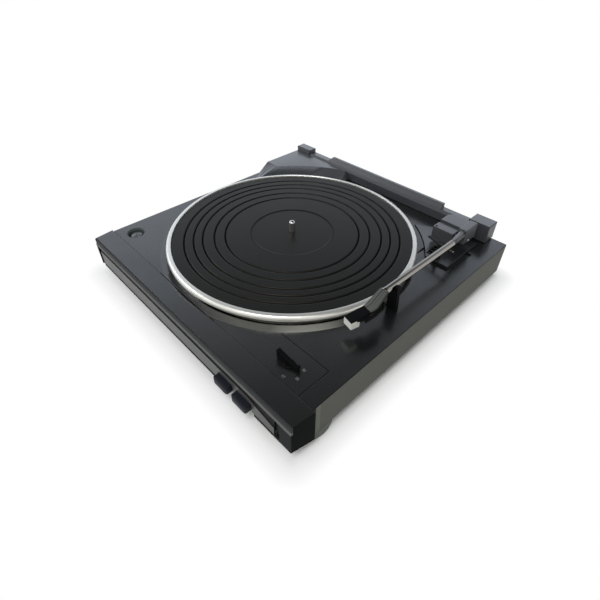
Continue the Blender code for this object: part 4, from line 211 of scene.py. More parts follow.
# %% Finishes
class Finish(Tree):
    """One material: a shader, its patterns and the nodes between them."""

    def __init__(self, name, colour, roughness, metallic=0.0, specular=0.5, coat=0.0):
        self.material = bpy.data.materials.new(name)
        self.material.use_nodes = True
        super().__init__(self.material.node_tree)
        self.tree.nodes.clear()
        self.output = self.tree.nodes.new("ShaderNodeOutputMaterial")
        self.shader = self.tree.nodes.new("ShaderNodeBsdfPrincipled")
        self.tree.links.new(self.shader.outputs[0], self.output.inputs[0])
        self.colour = (*colour, 1.0)
        self.set("Base Color", self.colour)
        self.set("Roughness", roughness)
        self.set("Metallic", metallic)
        self.set("Specular IOR Level", specular)
        self.set("Coat Weight", coat)
        self.material.diffuse_color = self.colour
        self.place = self.add("ShaderNodeTexCoord").outputs["Object"]

    def set(self, socket, value):
        self.feed(self.shader.inputs[socket], value)

    def noise(self, size, detail=2.0, stretch=(1.0, 1.0, 1.0), roughness=0.5):
        """Noise with features about a size, longer along an axis where the stretch is above 1."""
        scaled = self.on_vectors("DIVIDE", self.place, stretch)
        sockets = {"Vector": scaled, "Scale": 1 / size, "Detail": detail, "Roughness": roughness}
        return Wire(self, self.add("ShaderNodeTexNoise", {}, sockets).outputs[0])

    def from_axis(self, centre):
        """The distance of the surface point from an upright line."""
        moved = self.on_vectors("SUBTRACT", self.place, (centre[0], centre[1], 0.0))
        return self.length_of(self.on_vectors("MULTIPLY", moved, (1.0, 1.0, 0.0)))

    def bump(self, height, depth, strength=1.0):
        """Raises the surface by a height from 0 to 1, at a real depth."""
        sockets = {"Height": height, "Distance": depth, "Strength": strength}
        self.set("Normal", self.add("ShaderNodeBump", {}, sockets).outputs[0])


def shade_of(*values):
    """Turns screen values from 0 to 255 into the linear values that shaders take."""
    return tuple((value / 255) ** 2.2 for value in values)


print("a mid grey of 128 is", round(shade_of(128)[0], 3), "in linear light")

# %% [markdown]
# ## White paper floor
#
# The turntable stands on white paper. Close to the body the paper is a real surface that keeps the
# soft contact shadow. A few centimetres away the camera sees it as pure white, as in the
# photograph, through a mix whose share grows with the distance from the body. Light that bounces
# off the paper onto the body stays plain, because the mix works for camera and mirror rays only.

# %% Lay the floor
FLOOR_HALF = 12.0
BODY_HALF = (172 * MM, 173 * MM, 0.0)
BODY_MIDDLE = (0.0, 3.5 * MM, 0.0)
SHADOW_REACH = 27 * MM
SHADOW_FADE = [(0.05, 0.0), (0.35, 0.45), (1.0, 1.0)]
PAPER_SEEN = 0.80
PAPER_BOUNCE = 0.55

floor_mesh = bpy.data.meshes.new("paper_floor")
corners = [(-FLOOR_HALF, -FLOOR_HALF, 0), (FLOOR_HALF, -FLOOR_HALF, 0),
           (FLOOR_HALF, FLOOR_HALF, 0), (-FLOOR_HALF, FLOOR_HALF, 0)]
floor_mesh.from_pydata(corners, [], [(0, 1, 2, 3)])
floor = bpy.data.objects.new("paper_floor", floor_mesh)
bpy.context.scene.collection.objects.link(floor)
paper = Finish("white_paper", (PAPER_SEEN,) * 3, 0.9, specular=0.0)
path = paper.add("ShaderNodeLightPath")
seen = 0.0
for ray in ("Is Camera Ray", "Is Glossy Ray", "Is Transmission Ray"):
    seen = seen + Wire(paper, path.outputs[ray])
paper.set("Base Color", paper.mix(seen, (PAPER_BOUNCE,) * 3, (PAPER_SEEN,) * 3))
spot = paper.on_vectors("ABSOLUTE", paper.on_vectors("SUBTRACT", paper.place, BODY_MIDDLE))
away = paper.length_of(paper.on_vectors("MAXIMUM", paper.on_vectors("SUBTRACT", spot, BODY_HALF)))
fade = paper.ramp(away / SHADOW_REACH, SHADOW_FADE)
white = paper.add("ShaderNodeEmission", {}, {"Color": (1.0, 1.0, 1.0, 1.0), "Strength": 1.0})
sockets = {0: seen * fade, 1: paper.shader.outputs[0], 2: white.outputs[0]}
paper.feed(paper.output.inputs[0], paper.add("ShaderNodeMixShader", {}, sockets).outputs[0])
floor_mesh.materials.append(paper.material)
print("floor laid, white from", round(SHADOW_REACH / MM), "mm off the body")

# %% [markdown]
# ## Studio wall and lamps
#
# A satin black deck is a dark mirror. In the photograph its far end mirrors a bright, slightly cool
# wall and its near corner mirrors a dark ceiling. So the wall is white up to thirty degrees or so,
# falls off above, a little sooner behind the right rear corner, and is cool only low down. Two soft
# lamps add the plain light that falls from over the photographer's shoulder and from the left.

# %% Light the studio
WALL_LEVELS = [(0.52, 1.0), (0.61, 0.72), (0.70, 0.40), (0.78, 0.16), (0.88, 0.02)]
WALL_LEAN = 0.06
WALL_FAR = (0.88, 0.95, 1.06)
WALL_NEAR = (1.0, 1.0, 0.93)
COOL_UP_TO = 0.86
COOL_RATE = 5
LAMPS = [("shoulder_softbox", (0.5, -1.2, 2.4), (0, 0, 0), 1.1, 34),
         ("left_softbox", (-1.1, -0.8, 0.8), (-0.1, -0.1, 0), 0.6, 5)]

world = bpy.data.worlds.new("studio")
bpy.context.scene.world = world
world.use_nodes = True
world.node_tree.nodes.clear()
studio = Tree(world.node_tree)
east, north, height = studio.parts_of(studio.add("ShaderNodeTexCoord").outputs["Generated"])
low_down = ((COOL_UP_TO - height) * COOL_RATE).share_of(1.0)
wall_tint = studio.mix(((north - east) * 0.5 + 0.5) * low_down, WALL_NEAR, WALL_FAR)
brightness = studio.ramp(height + (east + north) * WALL_LEAN, WALL_LEVELS)
background = studio.add("ShaderNodeBackground", {}, {"Color": wall_tint, "Strength": brightness})
studio.add("ShaderNodeOutputWorld", {}, {0: background.outputs[0]})


def lamp(name, place, target, width, power):
    """A square soft lamp that faces a point."""
    data = bpy.data.lights.new(name, "AREA")
    data.shape = "SQUARE"
    data.size = width
    data.energy = power
    light = bpy.data.objects.new(name, data)
    bpy.context.scene.collection.objects.link(light)
    light.location = place
    facing = Vector(target) - Vector(place)
    light.rotation_euler = facing.to_track_quat("-Z", "Y").to_euler()
    return light


for values in LAMPS:
    lamp(*values)
bpy.context.scene.view_settings.view_transform = "Standard"

# %% [markdown]
# ## Tools for shapes
#
# Most pieces are one of three kinds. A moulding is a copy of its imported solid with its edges
# rounded, since the solid has the right walls already. A turned piece is a profile swung round an
# axis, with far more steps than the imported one. A built piece is a plate or a loft. One function
# ends each of them: it gives the finish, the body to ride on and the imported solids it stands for.

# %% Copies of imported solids
FLAT_WITHIN = math.radians(0.6)
WELD_WITHIN = 0.01 * MM


def packed(node):
    """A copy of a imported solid, with its loose triangles joined and its flat faces made whole."""
    shape = bmesh.new()
    shape.from_mesh(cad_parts[node].data)
    bmesh.ops.remove_doubles(shape, verts=shape.verts, dist=WELD_WITHIN)
    bmesh.ops.dissolve_limit(shape, angle_limit=FLAT_WITHIN, verts=shape.verts, edges=shape.edges)
    return shape


def mesh_of(shape, name):
    """Turns a shape into a mesh whose faces all point outwards."""
    bmesh.ops.recalc_face_normals(shape, faces=shape.faces)
    mesh = bpy.data.meshes.new(name)
    shape.to_mesh(mesh)
    shape.free()
    return mesh


def smooth(mesh, angle):
    """Smooth shading that stays crisp across edges sharper than the angle."""
    mesh.polygons.foreach_set("use_smooth", [True] * len(mesh.polygons))
    mesh.set_sharp_from_angle(angle=math.radians(angle))
    return mesh


def taken(holder):
    """The plain mesh that an object's modifiers make. The object goes."""
    evaluated = holder.evaluated_get(bpy.context.evaluated_depsgraph_get())
    result = bpy.data.meshes.new_from_object(evaluated)
    holder.modifiers.clear()
    bpy.data.objects.remove(holder)
    return result


def held(mesh):
    """Puts a mesh on an object in the scene, for as long as modifiers work on it."""
    holder = bpy.data.objects.new("workpiece", mesh)
    bpy.context.scene.collection.objects.link(holder)
    return holder


def rounded(mesh, width, segments=3, angle=32):
    """Rounds every edge sharper than the angle, keeps flat faces even and returns a plain mesh."""
    mesh.polygons.foreach_set("use_smooth", [True] * len(mesh.polygons))
    holder = held(mesh)
    rounding = holder.modifiers.new("rounding", "BEVEL")
    rounding.width = width
    rounding.segments = segments
    rounding.limit_method = "ANGLE"
    rounding.angle_limit = math.radians(angle)
    rounding.use_clamp_overlap = False
    rounding.loop_slide = False
    rounding.miter_outer = "MITER_ARC"
    evening = holder.modifiers.new("evening", "WEIGHTED_NORMAL")
    evening.weight = 100
    evening.keep_sharp = True
    return taken(holder)


def carved(mesh, *cutters):
    """Cuts shapes out of a mesh, where the real piece differs from its solid."""
    holder = held(mesh)
    tools = [held(mesh_of(cutter, "cutter")) for cutter in cutters]
    for tool in tools:
        cutting = holder.modifiers.new("cutting", "BOOLEAN")
        cutting.operation = "DIFFERENCE"
        cutting.solver = "EXACT"
        cutting.object = tool
    result = taken(holder)
    for tool in tools:
        bpy.data.objects.remove(tool)
    return result


def place_piece(name, mesh, body, finish, slot, *nodes):
    """Shows a mesh in its finish on its body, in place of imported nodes."""
    piece = bpy.data.objects.new(name, mesh)
    bpy.context.scene.collection.objects.link(piece)
    mesh.materials.clear()
    mesh.materials.append(finish.material)
    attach(piece, body)
    if nodes:
        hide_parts(*nodes)
    return piece


def place_rounded(name, shape, edge, body, finish, slot, *nodes, segments=3, angle=32):
    """Rounds the edges of a shape by some millimetres, shows it as a piece and returns its mesh."""
    mesh = rounded(mesh_of(shape, name), edge * MM, segments, angle)
    place_piece(name, mesh, body, finish, slot, *nodes)
    return mesh


print("copies can be rounded and carved")

# %% [markdown]
# ## Shapes from outlines and profiles
#
# A profile that swings round an axis makes every round piece here, and a row of outlines makes the
# plates, rods and tapered forms.

# %% Turned, plated and lofted shapes
SAME_PLACE = 0.0005 * MM


def turned(profile, centre, steps=96, ring=False):
    """Swings a profile of radii and heights round an upright line."""
    shape = bmesh.new()
    columns = []
    for step in range(steps):
        angle = 2 * math.pi * step / steps
        across, deep = math.cos(angle), math.sin(angle)
        places = [(centre[0] + radius * across, centre[1] + radius * deep, height)
                  for radius, height in profile]
        columns.append([shape.verts.new(place) for place in places])
    count = len(profile)
    for step in range(steps):
        here = columns[step]
        there = columns[(step + 1) % steps]
        for row in range(count if ring else count - 1):
            after = (row + 1) % count
            shape.faces.new((here[row], there[row], there[after], here[after]))
    bmesh.ops.remove_doubles(shape, verts=shape.verts, dist=SAME_PLACE)
    bmesh.ops.dissolve_degenerate(shape, edges=shape.edges, dist=SAME_PLACE)
    return shape


def loft(sections):
    """A closed solid through a row of outlines that all have as many points."""
    shape = bmesh.new()
    rings = [[shape.verts.new(point) for point in section] for section in sections]
    for first, second in zip(rings, rings[1:]):
        for index in range(len(first)):
            after = (index + 1) % len(first)
            shape.faces.new((first[index], first[after], second[after], second[index]))
    shape.faces.new(rings[0])
    shape.faces.new(rings[-1])
    return shape


def slab(outline, low, high):
    """A level plate over an outline."""
    return loft([[(x, y, low) for x, y in outline], [(x, y, high) for x, y in outline]])


def brick(low, high):
    """An upright block between two corners."""
    outline = [(low[0], low[1]), (high[0], low[1]), (high[0], high[1]), (low[0], high[1])]
    return slab(outline, low[2], high[2])


def upright(outline, front, back):
    """A plate that stands across the front, from an outline of places and heights."""
    return loft([[(x, y, z) for x, z in outline] for y in (front, back)])


def rod(start, end, radius, steps=32, far_radius=None):
    """A straight round bar between two points, tapered where its far radius differs."""
    axis = (Vector(end) - Vector(start)).normalized()
    across = axis.orthogonal().normalized()
    up = axis.cross(across)
    turns = [2 * math.pi * step / steps for step in range(steps)]
    sections = []
    for place, width in ((start, radius), (end, radius if far_radius is None else far_radius)):
        spokes = [across * math.cos(turn) + up * math.sin(turn) for turn in turns]
        sections.append([Vector(place) + spoke * width for spoke in spokes])
    return loft(sections)


def joined(*shapes):
    """Puts several shapes in one, side by side."""
    whole = shapes[0]
    for shape in shapes[1:]:
        part = bpy.data.meshes.new("part")
        shape.to_mesh(part)
        shape.free()
        whole.from_mesh(part)
        bpy.data.meshes.remove(part)
    return whole


def arc(centre, radius, start, end, steps=8):
    """Points on an arc between two angles in degrees."""
    turns = [math.radians(start + (end - start) * step / steps) for step in range(steps + 1)]
    return [(centre[0] + radius * math.cos(turn), centre[1] + radius * math.sin(turn))
            for turn in turns]


def middle(node):
    """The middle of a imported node's box."""
    low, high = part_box(node)
    return (low + high) / 2


print("shapes ready")

# %% [markdown]
# ## Growing shapes with Geometry Nodes
#
# What repeats, or follows a rule, is grown by a node tree. A tree is built like a finish: named
# sizes come in as inputs, and the sums are written as sums. The result is taken off as a plain
# mesh at once, so nothing live is left in the scene.

# %% Growths
class Growth(Tree):
    """A Geometry Nodes tree with named sizes, which grows a plain mesh."""

    def __init__(self, name, sizes):
        super().__init__(bpy.data.node_groups.new(name, "GeometryNodeTree"))
        face = self.tree.interface
        face.new_socket(name="Places", in_out="INPUT", socket_type="NodeSocketGeometry")
        face.new_socket(name="Shape", in_out="OUTPUT", socket_type="NodeSocketGeometry")
        self.values = {}
        for title, value in sizes.items():
            kind = "NodeSocketInt" if isinstance(value, int) else "NodeSocketFloat"
            socket = face.new_socket(name=title, in_out="INPUT", socket_type=kind)
            self.values[socket.identifier] = value
        self.given = self.tree.nodes.new("NodeGroupInput")
        self.grown = self.tree.nodes.new("NodeGroupOutput")

    def size(self, title):
        return Wire(self, self.given.outputs[title])

    def vector(self, across, deep, high):
        return self.add("ShaderNodeCombineXYZ", {}, {0: across, 1: deep, 2: high}).outputs[0]

    def moved(self, geometry, by):
        sockets = {"Geometry": geometry, "Translation": by}
        return self.add("GeometryNodeTransform", {}, sockets).outputs[0]

    def placed(self, geometry, positions):
        """The geometry with its points at worked-out positions."""
        sockets = {"Geometry": geometry, "Position": positions}
        return self.add("GeometryNodeSetPosition", {}, sockets).outputs[0]

    def at_places(self, geometry):
        """The shape, once at every place."""
        sockets = {"Points": self.given.outputs["Places"], "Instance": geometry}
        return self.add("GeometryNodeInstanceOnPoints", {}, sockets).outputs[0]

    def chamfered_block(self, across, deep, high, chamfer):
        """A block whose top is drawn in by a chamfer, standing on its middle."""
        cube = self.add("GeometryNodeMeshCube", {}, {"Size": self.vector(across, deep, high)})
        normal = self.add("GeometryNodeInputNormal")
        upward = self.parts_of(normal.outputs[0])[2] > 0.5
        sockets = {"Mesh": cube.outputs[0], "Selection": upward, "Offset Scale": chamfer}
        raised = self.add("GeometryNodeExtrudeMesh", {}, sockets)
        sockets = {"Geometry": raised.outputs[0], "Selection": raised.outputs["Top"],
                   "Scale": 1 - (chamfer * 2) / deep}
        return self.add("GeometryNodeScaleElements", {}, sockets).outputs[0]

    def grow(self, geometry, finish, places):
        """Ends the tree and returns the mesh that it makes from a list of places."""
        whole = self.add("GeometryNodeRealizeInstances", {}, {0: geometry})
        sockets = {0: whole.outputs[0], "Material": finish.material}
        dressed = self.add("GeometryNodeSetMaterial", {}, sockets)
        self.feed(self.grown.inputs[0], dressed.outputs[0])
        points = bpy.data.meshes.new("places")
        points.from_pydata([tuple(place) for place in places], [], [])
        holder = held(points)
        growth = holder.modifiers.new("growth", "NODES")
        growth.node_group = self.tree
        for identifier, value in self.values.items():
            growth[identifier] = value
        return taken(holder)


def rib_field(name, millimetres, finish, count, pitch):
    """A row of chamfered ribs about the middle, from their length, width, height and chamfer."""
    titles = ("Rib length", "Rib width", "Rib height", "Chamfer")
    rib = Growth(name, {title: value * MM for title, value in zip(titles, millimetres)})
    block = rib.chamfered_block(*(rib.size(title) for title in titles))
    places = [(0, (index - (count - 1) / 2) * pitch, 0) for index in range(count)]
    return rib.grow(rib.at_places(block), finish, places)


print("growths ready")

# %% [markdown]
# ## Finishes
#
# The body is a charcoal moulding with a fine spark-eroded grain, which breaks the mirror of the
# studio into a soft sheen. Its level faces are polished enough to mirror the wall, and its upright
# faces are not, so the gloss is a coat whose weight follows the way a face looks. The sides of the
# body are grey, with a painted highlight along their front corner and painted shade in the seam
# behind the cap. The sloping ring of the dish is darker, with a painted reflection and a painted
# glint at its front right and painted shade at its right rear. One rule on the place of each point
# paints them.

# %% Moulded plastics
COAT_IOR = 1.9
LEVEL_FROM, LEVEL_RATE = 0.80, 6
CLOUD_SIZE, DUST_SIZE = 38 * MM, 2.2 * MM
DUST_SHOWS = [(0.58, 0.0), (0.80, 1.0)]


def level_share(finish):
    """1 where a face looks straight up, 0 where it has turned down by more than a little."""
    normal = finish.add("ShaderNodeNewGeometry").outputs["Normal"]
    return finish.parts_of(normal)[2].past(LEVEL_FROM, LEVEL_RATE)


def moulding(name, colour, roughness, grain=0.35, depth=0.02, specular=0.5, coat=None,
             painted=None):
    """Moulded plastic: fine grain, faint cloudiness in the gloss and a trace of dust."""
    finish = Finish(name, colour, roughness, specular=specular)
    clouds = finish.noise(CLOUD_SIZE, 3.0)
    dust = finish.ramp(finish.noise(DUST_SIZE, 4.0), DUST_SHOWS)
    finish.set("Roughness", roughness + (clouds - 0.5) * 0.14 + dust * 0.05)
    pale = tuple(min(1.0, part * 1.5 + 0.003) for part in colour)
    base = finish.mix(clouds * 0.25 + dust * 0.20, finish.colour, pale)
    if painted:
        for mask, other in painted(finish):
            lighter = tuple(part * 1.12 for part in other)
            base = finish.mix(mask, base, finish.mix(clouds, other, lighter))
    finish.set("Base Color", base)
    if coat:
        finish.set("Coat IOR", COAT_IOR)
        finish.set("Coat Roughness", coat)
        finish.set("Coat Weight", level_share(finish) * (0.97 + (clouds - 0.5) * 0.2))
    finish.bump(finish.noise(grain * MM, 2.0), depth * MM, 0.5)
    return finish


platter_middle = middle("spindle")
DECK = 50 * MM
SIDE_GREY = shade_of(88, 89, 84)
# The paler band at the front corner of the grey sides is a painted highlight.
CORNER_HIGHLIGHT = shade_of(102, 103, 97)
DISH_GREY = shade_of(46, 47, 49)
# The paler front right of the dish slope is a painted reflection, with a painted glint in it.
DISH_REFLECTION = shade_of(92, 93, 90)
DISH_PAINTED_GLINT = shade_of(142, 142, 136)
# The darker right rear of the dish slope is painted shade.
DISH_SHADED = shade_of(22, 22, 23)
WELL_GREY = shade_of(66, 72, 72)
# Painted highlight on the front of the corner pillars.
PILLAR_FRONT_LIGHT = shade_of(46, 47, 48)
# Painted highlight on the lip's bead.
BEAD_HIGHLIGHT = shade_of(90, 91, 89)
PLATE_DARK = shade_of(26, 27, 30)
FLANK_DARK = shade_of(34, 35, 35)
NECK_DARK = shade_of(36, 37, 39)
DISH_OUTER = 155.2 * MM
DISH_LEVELS = (DECK - 2.45 * MM, DECK - 0.10 * MM)
FRONT_RIGHT = (0.79, -0.61)
REAR_RIGHT = (0.8, 0.6)
REFLECTION_FROM, REFLECTION_RATE = 0.70, 5
GLINT_FROM, GLINT_RATE = 0.972, 38
SHADED_FROM, SHADED_RATE = 0.45, 5
chassis_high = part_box("chassis")[1]
cap_low, cap_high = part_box("front_cap")
# The grey side paint starts behind the cap, so the charcoal stripe left in the seam is painted
# shade.
SEAM_SHADE_END = cap_high.y + 3.2 * MM
CORNER_HIGHLIGHT_END = cap_high.y + 8.6 * MM
BEAD_TOP = 43.9 * MM
WELL_REACH = 12 * MM
WALL_TOP = DECK - 0.55 * MM
NECK_END = 101 * MM
PLATE_SHADE = 84 * MM


def body_paint(finish):
    """Grey walls with a painted corner highlight and seam shade, the dish slope with painted light,
    the well.
    """
    x, y, z = finish.parts_of(finish.place)
    spread = finish.from_axis(platter_middle)

    def towards(way):
        """1 where a point lies in a direction from the spindle, less to its sides."""
        return ((x - platter_middle.x) * way[0] + (y - platter_middle.y) * way[1]) / spread

    outside = (abs(x) > chassis_high.x - 0.5 * MM) + (y > chassis_high.y - 0.5 * MM)
    # Painted shade: the grey stops short of the seam behind the cap.
    side = outside * (z < WALL_TOP) * (y > SEAM_SHADE_END)
    ring = (spread < DISH_OUTER) * (z < DISH_LEVELS[1]) * (z > DISH_LEVELS[0])
    well = (finish.from_axis(middle("locking_screw")) < WELL_REACH) * (z < DISH_LEVELS[1])
    forward = towards(FRONT_RIGHT)
    # Painted highlight on the corner band; painted reflection, glint and shade on the dish slope.
    return [(side, SIDE_GREY), (side * (y < CORNER_HIGHLIGHT_END), CORNER_HIGHLIGHT), (ring, DISH_GREY),
            (ring * forward.past(REFLECTION_FROM, REFLECTION_RATE), DISH_REFLECTION),
            (ring * forward.past(GLINT_FROM, GLINT_RATE), DISH_PAINTED_GLINT),
            (ring * towards(REAR_RIGHT).past(SHADED_FROM, SHADED_RATE), DISH_SHADED),
            (well, WELL_GREY)]


def pillar_light_paint(finish):
    """Painted highlight: the front of the corner pillars is painted paler than their sides."""
    return [(finish.parts_of(finish.place)[1] < cap_low.y + 0.7 * MM, PILLAR_FRONT_LIGHT)]


def bead_highlight_paint(finish):
    """Painted highlight: the bead along the lower edge of the lip is painted paler."""
    return [(finish.parts_of(finish.place)[2] < BEAD_TOP, BEAD_HIGHLIGHT)]


def plate_paint(finish):
    """The part of the base plate in front of the turret lies in its shade."""
    x, y = finish.parts_of(finish.place)[:2]
    return [((x - y * 0.3) > PLATE_SHADE, PLATE_DARK)]


def shell_paint(finish):
    """The flanks of the headshell lie in the shade of the cartridge and the rest."""
    return [(1 - level_share(finish), FLANK_DARK)]


def holder_paint(finish):
    """The tapered neck in which the tube ends is darker than the block behind it."""
    return [(finish.parts_of(finish.place)[1] < NECK_END, NECK_DARK)]


charcoal = moulding("charcoal_moulding", shade_of(18, 19, 19), 0.5, specular=0.05, coat=0.23,
                    painted=body_paint)
cap_black = moulding("front_cap_moulding", shade_of(22, 23, 23), 0.5, specular=0.01, coat=0.23,
                     painted=pillar_light_paint)
lip_black = moulding("front_lip_moulding", shade_of(48, 49, 51), 0.55, specular=0.08,
                     painted=bead_highlight_paint)
cover_black = moulding("cover_moulding", shade_of(56, 58, 62), 0.40, specular=0.4, coat=0.26)
plate_black = moulding("base_plate_moulding", shade_of(56, 58, 62), 0.40, specular=0.3, coat=0.30,
                       painted=plate_paint)
arm_grey = moulding("arm_grey_moulding", shade_of(57, 58, 61), 0.42, grain=0.25, depth=0.01,
                    specular=0.4, coat=0.34)
holder_grey = moulding("holder_moulding", shade_of(54, 55, 58), 0.42, 0.25, 0.01, 0.4, coat=0.34,
                       painted=holder_paint)
shell_grey = moulding("headshell_moulding", shade_of(79, 80, 78), 0.50, 0.2, 0.008, 0.3,
                      painted=shell_paint)
satin_black = moulding("satin_black_moulding", shade_of(16, 17, 18), 0.40, grain=0.2, depth=0.008,
                       specular=0.3)
deep_black = moulding("deep_black_moulding", shade_of(9, 9, 10), 0.60, grain=0.2, depth=0.008,
                      specular=0.1)
button_black = moulding("button_moulding", shade_of(26, 29, 36), 0.50, grain=0.25, depth=0.01,
                        specular=0.15)
soft_white = moulding("white_moulding", shade_of(196, 197, 190), 0.35, grain=0.2, depth=0.006)
stylus_red = moulding("red_moulding", shade_of(150, 32, 26), 0.30, grain=0.2, depth=0.004)
natural_nylon = moulding("natural_nylon_moulding", shade_of(198, 192, 178), 0.45, grain=0.5)
board_green = moulding("board_lacquer", shade_of(38, 88, 52), 0.28, grain=0.8, depth=0.01)
mark_ink = moulding("pale_ink", shade_of(122, 124, 122), 0.5, grain=0.3, depth=0.002)
print("moulded finishes ready")

# %% [markdown]
# ## Paint, rubber and metals
#
# Paint flows into a faint ripple. Rubber is dull, uneven and dusty. Metal shows how it was made:
# rings from the lathe on the platter, streaks along a drawn tube or a ground pin.

# %% Paint, rubber and metals
panel_low, panel_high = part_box("front_panel")
panel_right = panel_high.x - 1.6 * MM
SHADE_FROM = 108 * MM
RUBBER_DARKER = 0.12
RUBBER_TINT = (1.0, 0.95, 0.87, 1.0)
SPECKS_SHOW = [(0.60, 0.0), (0.74, 1.0)]


def panel_paint():
    """Satin grey paint with a faint orange-peel ripple, and painted shade towards its right end."""
    finish = Finish("grey_panel_paint", shade_of(72, 73, 73), 0.42)
    flow = finish.noise(60 * MM, 2.0)
    flake = finish.noise(0.25 * MM, 1.0)
    base = finish.mix(flow * 0.5 + flake * 0.15, shade_of(60, 61, 61), shade_of(70, 71, 70))
    x = finish.parts_of(finish.place)[0]
    # Painted shade towards the right end of the panel.
    shaded = ((x - SHADE_FROM) / (panel_right - SHADE_FROM)).share_of(1.0)
    finish.set("Base Color", finish.mix(shaded, base, shade_of(46, 47, 46)))
    finish.set("Roughness", 0.40 + (flow - 0.5) * 0.12)
    finish.bump(finish.noise(1.1 * MM, 2.0), 0.012 * MM, 0.4)
    return finish


def soft_rubber(name, colour, roughness=0.62, dark=None):
    """Rubber: dull, a little uneven and dusty, and darker where a mask says so."""
    finish = Finish(name, colour, roughness, specular=0.24)
    finish.set("Specular Tint", RUBBER_TINT)
    patches = finish.noise(26 * MM, 4.0, roughness=0.6)
    specks = finish.ramp(finish.noise(1.1 * MM, 3.0), SPECKS_SHOW)
    dusty = tuple(part * 1.7 + 0.003 for part in colour)
    base = finish.mix(patches * 0.45 + specks * 0.18, finish.colour, dusty)
    uneven = roughness + (patches - 0.5) * 0.15 + specks * 0.08
    if dark:
        mask = dark(finish)
        base = finish.mix(mask, base, tuple(part * RUBBER_DARKER for part in colour))
        uneven = uneven + mask * 0.3
    finish.set("Base Color", base)
    finish.set("Roughness", uneven)
    finish.bump(finish.noise(0.5 * MM, 3.0), 0.02 * MM, 0.5)
    return finish


def turned_metal(name, colour, roughness, centre, pitch=0.22):
    """Lathe-cut metal: rings round an upright axis, each cut a little differently."""
    finish = Finish(name, colour, roughness, metallic=0.8)
    radius = finish.from_axis(centre)
    rings = finish.add("ShaderNodeTexNoise", {"noise_dimensions": "1D"},
                       {"W": radius, "Scale": 1 / (pitch * MM), "Detail": 2.0})
    cut = Wire(finish, rings.outputs[0])
    clouds = finish.noise(30 * MM, 2.0)
    finish.set("Roughness", roughness + (cut - 0.5) * 0.16 + (clouds - 0.5) * 0.08)
    finish.set("Base Color",
               finish.mix(cut * 0.35, finish.colour, tuple(part * 0.72 for part in colour)))
    finish.bump(cut, 0.006 * MM, 0.6)
    return finish


def drawn_metal(name, colour, roughness, stretch=(1.0, 30.0, 1.0)):
    """Drawn or brushed metal: fine streaks along one way."""
    finish = Finish(name, colour, roughness, metallic=1.0)
    streaks = finish.noise(0.3 * MM, 3.0, stretch)
    clouds = finish.noise(12 * MM, 2.0)
    finish.set("Roughness", roughness + (streaks - 0.5) * 0.18 + (clouds - 0.5) * 0.08)
    finish.set("Base Color",
               finish.mix(streaks * 0.3, finish.colour, tuple(part * 0.75 for part in colour)))
    finish.bump(streaks, 0.004 * MM, 0.5)
    return finish


paint = panel_paint()
foot_rubber = soft_rubber("foot_rubber", shade_of(92, 94, 91))
belt_rubber = soft_rubber("belt_rubber", shade_of(24, 24, 24), 0.5)
platter_metal = turned_metal("turned_aluminium", (0.84, 0.83, 0.79), 0.36, platter_middle)
tube_plate = drawn_metal("bright_plating", (0.33, 0.305, 0.28), 0.08)
bright_steel = drawn_metal("bright_steel", (0.54, 0.54, 0.53), 0.22, (1.0, 1.0, 12.0))
machined_brass = drawn_metal("machined_brass", (0.72, 0.53, 0.24), 0.26, (1.0, 1.0, 8.0))
pale_brass = drawn_metal("pale_brass", (0.62, 0.52, 0.34), 0.30, (8.0, 1.0, 1.0))
oiled_bronze = drawn_metal("oiled_bronze", (0.16, 0.13, 0.10), 0.40, (1.0, 1.0, 8.0))
print("paint, rubber and metal finishes ready")

# %% [markdown]
# ## Mouldings with rounded edges
#
# A sharp edge never catches light, and nothing gives away a bare model sooner. Each moulding below
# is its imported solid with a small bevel, chosen for the size of the piece: about a millimetre on
# the body and a few tenths on the small parts of the arm.

# %% Round the mouldings
MOULDINGS = [
    ("chassis", "base", charcoal, "charcoal_plastic", 0.5),
    ("control_panel", "base", charcoal, "charcoal_plastic", 0.25),
    ("corner_cover", "base", cover_black, "charcoal_plastic", 0.6),
    ("rear_rail", "base", cover_black, "charcoal_plastic", 0.6),
    ("hinge_socket_left", "base", cover_black, "charcoal_plastic", 0.8),
    ("hinge_socket_right", "base", cover_black, "charcoal_plastic", 0.8),
    ("arm_base_plate", "base", plate_black, "charcoal_plastic", 0.35),
    ("arm_turret", "arm_swing_unit", arm_grey, "charcoal_plastic", 0.6),
    ("arm_holder", "arm_unit", holder_grey, "charcoal_plastic", 0.5),
    ("stylus", "arm_unit", stylus_red, "red_plastic", 0.12),
    ("lift_bush", "base", satin_black, "black_plastic", 0.2),
    ("lift_bar", "lift_unit", satin_black, "black_plastic", 0.35),
    ("locking_screw", "base", arm_grey, "black_plastic", 0.3),
    ("power_inlet", "base", satin_black, "black_plastic", 0.4),
    ("output_sockets", "base", satin_black, "black_plastic", 0.2),
    ("base_pan", "base", satin_black, "black_plastic", 0.5),
]

for node, body, finish, slot, width in MOULDINGS:
    place_rounded(node + "_moulding", packed(node), width, body, finish, slot, node)
print(len(MOULDINGS), "mouldings rounded")

# %% [markdown]
# ## Front cap and its lip
#
# The cap is the front strip of the deck. Its front edge rolls over into a lip about a centimetre
# high that hangs in front of the grey panel and ends in a bead, which throws a thin line of light;
# the bead is also painted paler, a painted highlight. The imported cap has a plain front, so a copy
# of it is cut back and a bar with the true section goes in its place. The bar follows the flare of
# the cap's ends. A thin dark strip fills the seam behind the cap on both sides of the platter.

